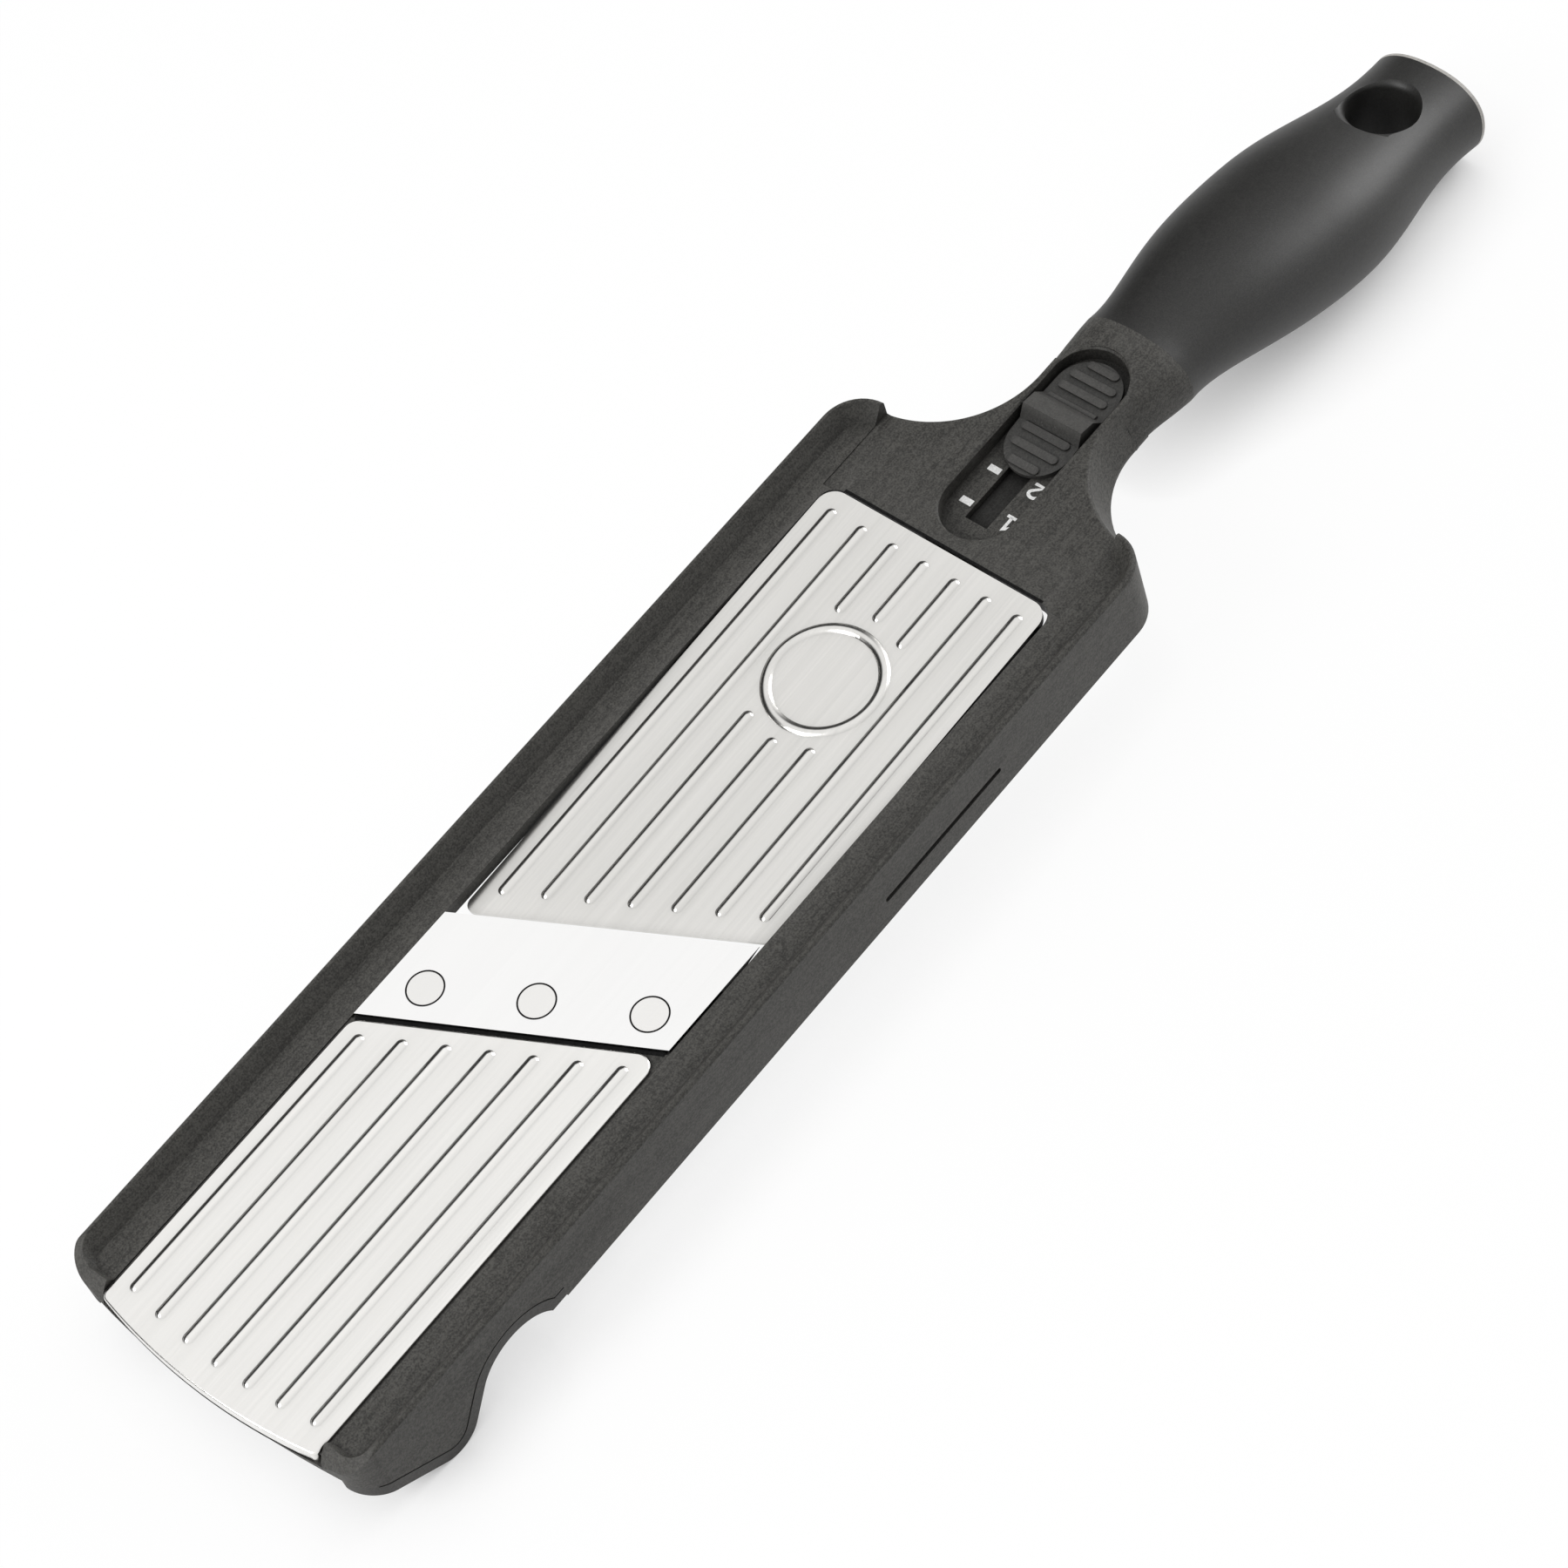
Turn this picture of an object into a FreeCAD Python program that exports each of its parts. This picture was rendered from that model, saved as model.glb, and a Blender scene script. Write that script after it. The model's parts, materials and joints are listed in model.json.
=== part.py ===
import FreeCAD, Part
import math
import os
from FreeCAD import Vector

# Handheld mandoline slicer, in millimetres.
# The pieces are drawn on a bench frame: X runs to the handle, Y to the left rail and Z up, with x = 0
# at the middle of the cutting edge and z = 0 on top of the blade. They are saved as the slicer stands
# on a table, on its feet and the handle's end, with the middle of their box over the origin.

# Blade
SKEW_DEG = 26.1
BLADE_WIDTH = 24.0
BLADE_THICK = 1.2
BLADE_END_GAP = 0.3
BEVEL_WIDTH = 4.0
EDGE_LAND = 0.15
BLADE_OVERHANG = 10.0
BED_EDGE = 0.6
RIVET_SETBACK = 7.1
RIVET_PITCH = 22.8
RIVET_HEAD_R = 3.7
RIVET_SHANK_R = 2.0
RIVET_TAIL_R = 3.2
RIVET_TAIL = 1.0
RIVET_GAP = 0.12

# Steel plates
PLATE_WIDTH = 57.0
SHEET = 0.8
FRONT_REACH = 115.6
FRONT_RADIUS = 140.0
FRONT_LIP = 3.3
FRONT_BEND = 0.5
LIP_GAP = 0.15
FRONT_GAP = 1.1
FRONT_CORNER = 1.6
REAR_CORNER = 3.2
RAMP_REACH = 103.7
RAMP_CORNER = 4.0
RAMP_TIP_CORNER = 2.0
RAMP_FLANGE = 1.7
THROAT = 2.3
RIB_COUNT = 7
RIB_PITCH = 8.0
RIB_WIDTH = 2.4
RIB_HEIGHT = 0.6
RIB_FRONT_MARGIN = 6.1
RIB_SKEW_MARGIN = 4.9
RIB_REAR_MARGIN = 5.2
RAMP_RIB_MARGIN = 6.3
BOSS_X = 67.7
BOSS_R = 13.1
BOSS_CLEAR = 2.5

# Rails, bed and skirts of the moulded frame
BODY_WIDTH = 78.0
SIDE_GAP = 0.5
LEDGE_DROP = 0.5
SLAB = 3.1
LIP_RISE = 3.9
LIP_CREST = 1.1
LIP_RUN = 2.6
LIP_ROUND = 0.9
RIM_CORNER = 2.4
RIM_LENGTH = 10.5
RIM_FALL = 7.5
RIM_BULGE = 1.35
WALL = 2.4
SKIRT_DEPTH = 13.65
BED_SETBACK = 0.4
BED_RADIUS = 200.0
NOSE_DROP = 5.6
BODY_CORNER = 6.0
BED_RIB = 1.6
BED_RIB_DEPTH = 3.0
BED_RIB_PITCH = 16.0
BED_RIB_MARGIN = 10.0
BED_CHAMFER = 4.0

# Bowl notch and feet
NOTCH_X = 43.0
NOTCH_R = 14.0
NOTCH_DROP = 4.9
NOTCH_SLOPE_DEG = 54.0
NUB_X = 56.9
NUB_DROP = 10.5
FOOT_R = 4.0
FOOT_DEPTH = 19.0
FOOT_RISE_DEG = 35.0
FOOT_WIDTH = 6.0
PAD = 2.6
PAD_GROOVE = 0.35
PAD_GROOVE_DEPTH = 0.6

# Deck and neck
DECK_GAP = 0.7
DECK_DROP = 0.75
DECK_STEP = 1.3
DECK_LENGTH = 19.5
SHOULDER_R = 9.0
NECK_TOP_WIDTH = 19.2
NECK_DRAFT = 0.25
NECK_FLARE_R = 24.4
NECK_FLARE_HALF = 30.0
NECK_LENGTH = 24.1
NECK_ROUND = 0.8
NECK_UNDER_ROUND = 2.0
RECESS_SETBACK = 3.6
RECESS_DEPTH = 3.75
RECESS_FLOOR = 1.5
RECESS_WALL = 1.9
RECESS_CHAMFER = 0.4
SLOT_WIDTH = 5.6

# Handle
SEAM_SETBACK = 6.2
COLLAR_LENGTH = 17.0
COLLAR_RISE = 0.2
COLLAR_SAG = 2.4
GRIP_LENGTH = 96.0
TANG_LENGTH = 62.0
TANG_WIDTH = 15.0
TANG_HEIGHT = 11.0
TANG_END_HEIGHT = 8.0
TANG_DROP = 12.3
DROOP_DEG = 12.0
END_DROP = 29.7
CAP = 0.8
HANG_X = 16.8
HANG_R = 7.8
HANG_MOUTH = 2.6
HANG_HALF = 10.8

# Ramp hinge and thickness setting
HINGE_SETBACK = 4.2
HINGE_DROP = 3.6
RAMP_RISE = 3.6
HINGE_PIN_R = 1.5
HINGE_RUN_GAP = 0.05
KNUCKLE_R = 2.4
KNUCKLE_START = 12.0
HINGE_BOSS = 4.0
PIN_INSET = 1.0
THICKEST = 3.0
CARRIER = 1.1
CARRIER_GAP = 0.15
CARRIER_FRONT = 7.0
CARRIER_RIB = 1.6
CARRIER_RIB_DEPTH = 1.6

# Slide that sets the ramp
TRAVEL = 18.0
STEPS = 2
SLED_DROP = 7.2
SLED_THICK = 2.0
SPINE_WIDTH = 16.0
SPINE_TAIL = 4.0
SPINE_END_GAP = 2.5
CAM_ARM = 39.5
CAM_PIN_R = 1.5
CAM_GAP = 0.12
CAM_WALL = 1.5
CHEEK = 2.5
CHEEK_IN = 13.0
EAR = 3.0
EAR_R = 2.7
EAR_GAP = 0.6
CROSS_BAR = 5.5
LUG_LEAD = 4.0
LUG_LENGTH = 16.4
LUG_END_GAP = 0.4
LUG_THICK = 1.0
LUG_GAP = 0.15
LUG_INSET = 1.0
LUG_SLOT_ROUND = 0.5
SLIDE_GAP = 0.2

# Thumb slider
SLIDER_LENGTH = 30.0
SLIDER_WIDTH = 15.0
SLIDER_REAR_GAP = 2.0
SLIDER_FRONT_GAP = 1.8
SLIDER_FLOAT = 0.1
SLIDER_SIDE_GAP = 1.0
NOSE_THICK = 0.8
SADDLE_X = 10.4
SADDLE_RISE = 1.0
CREST_X = 12.2
CREST_Z = 1.15
BAND_X = 15.8
BAND_DROP = 0.7
TAIL_X = 18.0
TAIL_DROP = 3.2
TAIL_END_DROP = 3.4
GRIP_BAR = 1.8
GRIP_BAR_RISE = 0.45
GRIP_BAR_MARGIN = 1.8
NOSE_BAR_PITCH = 3.8
TAIL_BAR_PITCH = 3.4
RIDGE_R = 0.7
STEM_X = 4.5
STEM_LENGTH = 14.0
STEM_GAP = 0.2

# Fasteners, cover and detent
SCREW_R = 1.5
SCREW_HEAD_R = 2.7
SCREW_HEAD = 1.5
SCREW_DEPTH = 5.0
SLIDER_SCREW_DEPTH = 2.5
SPRING_SCREW_R = 0.75
SPRING_SCREW_HEAD = 0.75
SPRING_SCREW_DEPTH = 0.8
COVER = 1.6
COVER_GAP = 0.2
COVER_SETBACK = 7.9
COVER_T_LENGTH = 11.0
COVER_BOSS_Y = 13.0
COVER_BOSS_R = 3.6
COVER_TONGUE = 2.0
TONGUE_WIDTH = 8.0
SPRING = 0.4
SPRING_WIDTH = 4.0
SPRING_Y = 5.5
SPRING_BUMP_R = 1.4
SPRING_MARGIN = 1.0
NOTCH_DEPTH = 0.5

# Shape numbers without a unit: how square each rounded section is, and how it leans in
GRIP_POWER = 2.3
COLLAR_POWER = 3.4
NECK_POWER = 8.0
COLLAR_TAPER = 0.08
GRIP_BAR_SPAN = 0.8
GRIP_BAR_ROWS = 3
SECTION_POINTS = 24
STAND_PASSES = 5

# How far a cutter reaches past the face it cuts, and when two places count as one
BITE = 1.0
TINY = 1e-6

# Values worked out from the sizes above
SLOPE = math.tan(math.radians(SKEW_DEG))
SKEW_COS = math.cos(math.radians(SKEW_DEG))
DROOP = math.radians(DROOP_DEG)
BODY_HALF = BODY_WIDTH / 2
PLATE_HALF = PLATE_WIDTH / 2
OPENING_HALF = PLATE_HALF + SIDE_GAP
POCKET_HALF = BODY_HALF - WALL
FOOT_IN = BODY_HALF - FOOT_WIDTH
LEDGE_Z = -LEDGE_DROP
SLAB_Z = LEDGE_Z - SLAB
LIP_Z = LEDGE_Z + LIP_RISE
SKIRT_Z = -SKIRT_DEPTH
DECK_Z = -DECK_DROP
FRONT_X = -FRONT_REACH
BED_FRONT_X = FRONT_X + BED_SETBACK
BLADE_FRONT = BLADE_WIDTH / SKEW_COS
PLATE_REAR = BLADE_FRONT + FRONT_GAP / SKEW_COS
BED_REAR = BLADE_OVERHANG / SKEW_COS
RAMP_FRONT = THROAT / SKEW_COS
DECK_X = RAMP_REACH + DECK_GAP
SHOULDER_X = DECK_X + DECK_LENGTH
FLARE_X = SHOULDER_X + NECK_LENGTH
FLARE_Y = NECK_TOP_WIDTH / 2 + NECK_FLARE_R
RECESS_X = DECK_X + RECESS_SETBACK
RECESS_LENGTH = SLIDER_FRONT_GAP + TRAVEL + SLIDER_LENGTH + SLIDER_REAR_GAP
RECESS_HALF = SLIDER_WIDTH / 2 + SLIDER_SIDE_GAP
FLOOR_Z = DECK_Z - RECESS_DEPTH
FLOOR_UNDER = FLOOR_Z - RECESS_FLOOR
NOSE_X = RECESS_X + SLIDER_FRONT_GAP + TRAVEL
STEM_FRONT = NOSE_X + STEM_X
STEM_REAR = STEM_FRONT + STEM_LENGTH
SEAM_X = RECESS_X + RECESS_LENGTH + SEAM_SETBACK
HINGE_X = RAMP_REACH - HINGE_SETBACK
HINGE_Z = -HINGE_DROP
RAMP_TOP = HINGE_Z + RAMP_RISE
SLED_Z = -SLED_DROP
SLED_TOP = SLED_Z + SLED_THICK / 2
SLED_UNDER = SLED_Z - SLED_THICK / 2
CAM_X = HINGE_X - CAM_ARM
BAR_X = CAM_X + TRAVEL + EAR_R + CAM_PIN_R + EAR_GAP
SPINE_END = STEM_REAR + SPINE_TAIL
CAVITY_END = SPINE_END + SPINE_END_GAP
COVER_X = DECK_X + COVER_SETBACK
COVER_TOP = SKIRT_Z + COVER + COVER_GAP
SCREW_X = COVER_X + COVER_T_LENGTH / 2


def ramp_angle(drop):
    """Tilt about the hinge that puts the middle of the ramp's front edge this far below the blade."""
    arm = HINGE_X - RAMP_FRONT
    return math.acos((-drop - HINGE_Z) / math.hypot(RAMP_RISE, arm)) - math.atan2(arm, RAMP_RISE)


REST_TILT = ramp_angle(THICKEST)
SWING = REST_TILT - ramp_angle(0.0)


def box(x0, x1, y0, y1, z0, z1):
    """Box between two corners."""
    return Part.makeBox(x1 - x0, y1 - y0, z1 - z0, Vector(x0, y0, z0))


def prism(points, z0, z1):
    """Straight prism over a polygon given by its (x, y) corners."""
    wire = Part.makePolygon([Vector(x, y, z0) for x, y in points], True)
    return Part.Face(wire).extrude(Vector(0, 0, z1 - z0))


def side_prism(points, y0, y1, shear=0.0):
    """Prism over an (x, z) polygon; shear moves it along X as Y grows."""
    wire = Part.makePolygon([Vector(x - shear * y0, y0, z) for x, z in points], True)
    return Part.Face(wire).extrude(Vector(-shear * (y1 - y0), y1 - y0, 0))


def rod(x, z, radius, y0, y1):
    """Cylinder along Y."""
    return Part.makeCylinder(radius, y1 - y0, Vector(x, y0, z), Vector(0, 1, 0))


def post(x, y, radius, z0, z1):
    """Cylinder along Z."""
    return Part.makeCylinder(radius, z1 - z0, Vector(x, y, z0))


def stadium(x0, x1, half_width, z0, z1):
    """Upright bar with round ends, from x0 to x1."""
    bar = box(x0 + half_width, x1 - half_width, -half_width, half_width, z0, z1)
    ends = [post(x, 0, half_width, z0, z1) for x in (x0 + half_width, x1 - half_width)]
    return bar.fuse(ends).removeSplitter()


def both_sides(shape):
    """The shape together with its mirror image across the middle plane."""
    return [shape, shape.mirror(Vector(0, 0, 0), Vector(0, 1, 0))]


def arc(start, middle, end):
    """Edge through three points."""
    return Part.Arc(start, middle, end).toShape()


def line(start, end):
    """Straight edge."""
    return Part.makeLine(start, end)


def upright_edges(shape, x_from, x_to):
    """Edges that run along Z inside an interval of X."""
    found = []
    for edge in shape.Edges:
        limits = edge.BoundBox
        if limits.XLength < TINY and limits.YLength < TINY and x_from < limits.XMin < x_to:
            found.append(edge)
    return found


def plate_blank(front, rear, z0, z1):
    """Flat plate between a front line and a rear line, each given as (x at y = 0, slope)."""
    corners = []
    for (x, slope), side in ((front, 1), (front, -1), (rear, -1), (rear, 1)):
        corners.append((x - slope * side * PLATE_HALF, side * PLATE_HALF))
    return prism(corners, z0, z1)


def bow(radius, y):
    """How far a bowed front edge has fallen back at a distance from the middle."""
    return radius - math.sqrt(radius ** 2 - y ** 2)


def bowed_block(tip_x, radius, half, z0, z1):
    """Block behind a bowed front edge, from its tip back to the shoulders."""
    sag = tip_x + bow(radius, half)
    front = arc(Vector(sag, half, z0), Vector(tip_x, 0, z0), Vector(sag, -half, z0))
    back = SHOULDER_X
    edges = [front, line(Vector(sag, -half, z0), Vector(back, -half, z0))]
    edges.append(line(Vector(back, -half, z0), Vector(back, half, z0)))
    edges.append(line(Vector(back, half, z0), Vector(sag, half, z0)))
    return Part.Face(Part.Wire(edges)).extrude(Vector(0, 0, z1 - z0))


def rib(x0, x1, y, top):
    """Pressed rib with ball ends, standing RIB_HEIGHT over a sheet whose top is given."""
    radius = rib_radius()
    start = Vector(x0, y, top + RIB_HEIGHT - radius)
    bar = Part.makeCylinder(radius, x1 - x0, start, Vector(1, 0, 0))
    balls = [Part.makeSphere(radius, Vector(x, y, start.z)) for x in (x0, x1)]
    keep = box(x0 - RIB_WIDTH, x1 + RIB_WIDTH, y - RIB_WIDTH, y + RIB_WIDTH, top - SHEET / 2,
               top + RIB_WIDTH)
    return bar.fuse(balls).removeSplitter().common(keep)


def rib_radius():
    """Radius across the crown of a pressed rib."""
    return (RIB_WIDTH ** 2 / 4 + RIB_HEIGHT ** 2) / (2 * RIB_HEIGHT)


def rib_lines():
    """Y of each pressed rib, from right to left."""
    return [RIB_PITCH * (i - (RIB_COUNT - 1) / 2) for i in range(RIB_COUNT)]


def front_plate():
    """Fixed steel plate ahead of the blade, with a lip turned down along its bowed front edge."""
    blank = bowed_block(FRONT_X, FRONT_RADIUS, PLATE_HALF, -FRONT_LIP, 0)
    behind = plate_blank((-PLATE_REAR, SLOPE), (SHOULDER_X + BITE, 0), -FRONT_LIP - BITE, BITE)
    blank = blank.cut(behind)
    bowed = FRONT_X + bow(FRONT_RADIUS, PLATE_HALF) + BITE
    blank = blank.makeFillet(FRONT_CORNER, upright_edges(blank, FRONT_X, bowed))
    blank = blank.makeFillet(REAR_CORNER, upright_edges(blank, bowed + FRONT_CORNER, 0))
    top_front = [e for e in blank.Edges if e.BoundBox.ZMin > -TINY and e.BoundBox.XMax < bowed]
    blank = blank.makeFillet(FRONT_BEND, top_front)
    under = bowed_block(FRONT_X + SHEET, FRONT_RADIUS, PLATE_HALF + BITE, -FRONT_LIP - BITE, -SHEET)
    plate = blank.cut(under)
    ribs = []
    for y in rib_lines():
        start = FRONT_X + RIB_FRONT_MARGIN + bow(FRONT_RADIUS, y)
        end = -PLATE_REAR - SLOPE * y - RIB_SKEW_MARGIN
        ribs.append(rib(start, end, y, 0))
    return plate.fuse(ribs).removeSplitter()


def ramp_plate():
    """Steel ramp plate drawn level: turned-down edges, pressed ribs and a plain pressed ring."""
    blank = plate_blank((RAMP_FRONT, SLOPE), (RAMP_REACH, 0), RAMP_TOP - RAMP_FLANGE, RAMP_TOP)
    blank = blank.makeFillet(RAMP_CORNER, upright_edges(blank, RAMP_REACH - BITE, RAMP_REACH + BITE))
    blank = blank.makeFillet(RAMP_TIP_CORNER, upright_edges(blank, -RAMP_REACH, HINGE_X))
    inner = carrier_blank(SHEET, RAMP_TOP - RAMP_FLANGE - BITE, RAMP_TOP - SHEET, -BITE)
    plate = blank.cut(inner)
    tube = rib_radius()
    ring = Part.makeTorus(BOSS_R - RIB_WIDTH / 2, tube, Vector(BOSS_X, 0, RAMP_TOP + RIB_HEIGHT - tube))
    raised = [ring.common(post(BOSS_X, 0, 2 * BOSS_R, RAMP_TOP - SHEET / 2, RAMP_TOP + BITE))]
    rear = RAMP_REACH - RIB_REAR_MARGIN
    clear = BOSS_R + BOSS_CLEAR
    for y in rib_lines():
        start = RAMP_FRONT - SLOPE * y + RAMP_RIB_MARGIN
        if abs(y) < clear:
            half = math.sqrt(clear ** 2 - y ** 2) + RIB_WIDTH / 2
            raised.append(rib(start, BOSS_X - half, y, RAMP_TOP))
            raised.append(rib(BOSS_X + half, rear, y, RAMP_TOP))
        else:
            raised.append(rib(start, rear, y, RAMP_TOP))
    return plate.fuse(raised).removeSplitter()


def carrier_blank(inset, z0, z1, front_inset):
    """Plan of the ramp drawn in from the plate's edges, with its own inset at the skewed front."""
    half = PLATE_HALF - inset
    front = RAMP_FRONT + front_inset / SKEW_COS
    corners = [(front - SLOPE * half, half), (front + SLOPE * half, -half)]
    corners += [(RAMP_REACH - inset, -half), (RAMP_REACH - inset, half)]
    blank = prism(corners, z0, z1)
    rear = upright_edges(blank, RAMP_REACH - inset - BITE, RAMP_REACH)
    return blank.makeFillet(max(RAMP_CORNER - inset, SHEET), rear)


def tilt_ramp(shape):
    """Turn a level ramp piece about the hinge to the thickest setting."""
    turned = shape.copy()
    turned.rotate(Vector(HINGE_X, 0, HINGE_Z), Vector(0, 1, 0), -math.degrees(REST_TILT))
    return turned


def cam_points():
    """Cam pin at rest and, in the slide's own place at rest, at the closed setting."""
    rise = CAM_ARM * math.sin(SWING)
    rest = Vector(CAM_X, 0, SLED_Z - rise / 2)
    arm = rest - Vector(HINGE_X, 0, HINGE_Z)
    turn = FreeCAD.Rotation(Vector(0, 1, 0), math.degrees(SWING))
    closed = Vector(HINGE_X, 0, HINGE_Z) + turn.multVec(arm)
    return rest, closed + Vector(TRAVEL, 0, 0)


def ramp_carrier():
    """Moulded tray under the ramp plate, with hinge knuckles and two ears for the cam pin."""
    top = RAMP_TOP - SHEET
    inset = SHEET + CARRIER_GAP
    tray = carrier_blank(inset, top - CARRIER, top, CARRIER_FRONT)
    pieces = []
    for y in (CHEEK_IN + CHEEK + CARRIER_RIB, PLATE_HALF - inset - CARRIER_RIB):
        start = RAMP_FRONT + (CARRIER_FRONT + CARRIER_RIB) / SKEW_COS + SLOPE * y
        under = top - CARRIER - CARRIER_RIB_DEPTH
        bar = box(start, HINGE_X, y - CARRIER_RIB / 2, y + CARRIER_RIB / 2, under, top - CARRIER)
        pieces += both_sides(bar)
    outer = PLATE_HALF - RAMP_CORNER
    knuckle = rod(HINGE_X, HINGE_Z, KNUCKLE_R, KNUCKLE_START, outer)
    web = box(HINGE_X - KNUCKLE_R, HINGE_X, KNUCKLE_START, outer, HINGE_Z, top - CARRIER)
    pieces += both_sides(knuckle.fuse(web))
    level = ear_level()
    face = CHEEK_IN - EAR_GAP
    ear = rod(level.x, level.z, EAR_R, face - EAR, face)
    ear = ear.fuse(box(level.x - EAR_R, level.x + EAR_R, face - EAR, face, level.z, top - CARRIER))
    pieces += both_sides(ear)
    carrier = tray.fuse(pieces).removeSplitter()
    carrier = carrier.cut(rod(HINGE_X, HINGE_Z, HINGE_PIN_R + HINGE_RUN_GAP, -BODY_HALF, BODY_HALF))
    return carrier.cut(rod(level.x, level.z, CAM_PIN_R, -BODY_HALF, BODY_HALF))


def ear_level():
    """Cam pin centre with the ramp turned level."""
    rest = cam_points()[0]
    turn = FreeCAD.Rotation(Vector(0, 1, 0), math.degrees(REST_TILT))
    hinge = Vector(HINGE_X, 0, HINGE_Z)
    return hinge + turn.multVec(rest - hinge)


def cam_pin():
    """Steel pin pressed into the carrier's ears, ending inside the slide's cheeks."""
    level = ear_level()
    reach = CHEEK_IN + CHEEK - SLIDE_GAP
    return rod(level.x, level.z, CAM_PIN_R, -reach, reach)


def hinge_pin():
    """Steel pin across the rear of the ramp, held at both ends by the frame."""
    reach = POCKET_HALF - PIN_INSET
    return rod(HINGE_X, HINGE_Z, HINGE_PIN_R, -reach, reach)


def blade():
    """Skewed blade, ground on its underside, with three rivet holes."""
    under = -BLADE_THICK
    bevel = BEVEL_WIDTH / SKEW_COS
    profile = [(-BLADE_FRONT, 0), (-BLADE_FRONT, under), (-bevel, under), (0, -EDGE_LAND), (0, 0)]
    reach = OPENING_HALF - BLADE_END_GAP
    steel = side_prism(profile, -reach, reach, SLOPE)
    holes = [post(x, y, RIVET_HEAD_R + RIVET_GAP, under - BITE, BITE) for x, y in rivet_places()]
    return steel.cut(holes)


def rivet_places():
    """Rivet centres along the blade."""
    x = -BLADE_FRONT + RIVET_SETBACK / SKEW_COS
    step = RIVET_PITCH * SKEW_COS
    return [(x - SLOPE * i * step, i * step) for i in (-1, 0, 1)]


def blade_rivets():
    """Flush rivets that hold the blade on its bed."""
    rivets = []
    for x, y in rivet_places():
        head = post(x, y, RIVET_HEAD_R, -BLADE_THICK, 0)
        shank = post(x, y, RIVET_SHANK_R, SLAB_Z, -BLADE_THICK)
        tail = post(x, y, RIVET_TAIL_R, SLAB_Z - RIVET_TAIL, SLAB_Z)
        rivets.append(head.fuse([shank, tail]).removeSplitter())
    return Part.makeCompound(rivets)


def foot_edges(offset, y):
    """Lower edge of a skirt from the nub over the bowl notch and the foot to the front, moved out."""
    slope = math.radians(NOTCH_SLOPE_DEG)
    rise = math.radians(FOOT_RISE_DEG)
    notch = Vector(FRONT_X + NOTCH_X, y, -NOTCH_DROP - NOTCH_R)
    notch_r = NOTCH_R - offset
    level = -NUB_DROP - offset
    nub = Vector(FRONT_X + NUB_X, y, level)
    begin = Vector(notch.x + math.sqrt(notch_r ** 2 - (level - notch.z) ** 2), y, level)
    crown = Vector(notch.x, y, notch.z + notch_r)
    leave = notch + Vector(-math.sin(slope), 0, math.cos(slope)) * notch_r
    foot_z = -FOOT_DEPTH + FOOT_R
    base = notch + Vector(-math.sin(slope), 0, math.cos(slope)) * NOTCH_R
    run = (base.z - foot_z + FOOT_R * math.cos(slope)) / math.sin(slope)
    foot = base + Vector(-math.cos(slope), 0, -math.sin(slope)) * run
    foot = foot - Vector(math.sin(slope), 0, -math.cos(slope)) * FOOT_R
    foot_r = FOOT_R + offset
    meet = foot + Vector(math.sin(slope), 0, -math.cos(slope)) * foot_r
    sole = foot + Vector(0, 0, -foot_r)
    part = foot + Vector(-math.sin(rise), 0, -math.cos(rise)) * foot_r
    ahead = part.x - (FRONT_X - PAD)
    tip = part + Vector(-ahead, 0, ahead * math.tan(rise))
    notch_edges = [line(nub, begin), arc(begin, crown, leave), line(leave, meet)]
    return notch_edges + [arc(meet, sole, part), line(part, tip)]


def foot_band(inner, outer, y0, y1):
    """Band along the bowl notch and the foot, between two offsets of the skirt's lower edge."""
    upper = foot_edges(inner, y0)
    lower = foot_edges(outer, y0)
    ends = [line(upper[0].Vertexes[0].Point, lower[0].Vertexes[0].Point)]
    ends.append(line(upper[-1].Vertexes[-1].Point, lower[-1].Vertexes[-1].Point))
    face = Part.Face(Part.Wire(Part.__sortEdges__(upper + lower + ends)))
    return face.extrude(Vector(0, y1 - y0, 0))


def foot_pad(side):
    """Soft pad along the bowl notch and under the foot of one skirt."""
    y0 = FOOT_IN if side > 0 else -BODY_HALF
    return foot_band(0, PAD, y0, y0 + FOOT_WIDTH).common(body_plan(-2 * FOOT_DEPTH, LIP_Z))


def pad_grooves():
    """Fine grooves in the outer walls along the upper edge of the pads."""
    return both_sides(foot_band(-PAD_GROOVE, 0, BODY_HALF - PAD_GROOVE_DEPTH, BODY_WIDTH))


def body_plan(z0, z1):
    """Rail part of the frame seen from above, as a block: bowed front, round corners and shoulders."""
    corner_y = BODY_HALF - BODY_CORNER
    sag = BED_FRONT_X + bow(BED_RADIUS, corner_y)
    side_x = sag + BODY_CORNER
    s = math.sqrt(0.5)
    edges = []
    for side in (1, -1):
        front = Vector(sag, side * corner_y, z0)
        bulge = Vector(side_x - BODY_CORNER * s, side * (corner_y + BODY_CORNER * s), z0)
        wall = Vector(side_x, side * BODY_HALF, z0)
        turn = Vector(SHOULDER_X - SHOULDER_R, side * BODY_HALF, z0)
        round_off = Vector(turn.x + SHOULDER_R * s, side * (BODY_HALF - SHOULDER_R * (1 - s)), z0)
        rear = Vector(SHOULDER_X, side * (BODY_HALF - SHOULDER_R), z0)
        edges += [arc(front, bulge, wall), line(wall, turn), arc(turn, round_off, rear)]
    inner = BODY_HALF - SHOULDER_R
    edges.append(line(Vector(SHOULDER_X, -inner, z0), Vector(SHOULDER_X, inner, z0)))
    edges.append(arc(Vector(sag, corner_y, z0), Vector(BED_FRONT_X, 0, z0), Vector(sag, -corner_y, z0)))
    return Part.Face(Part.Wire(Part.__sortEdges__(edges))).extrude(Vector(0, 0, z1 - z0))


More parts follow.
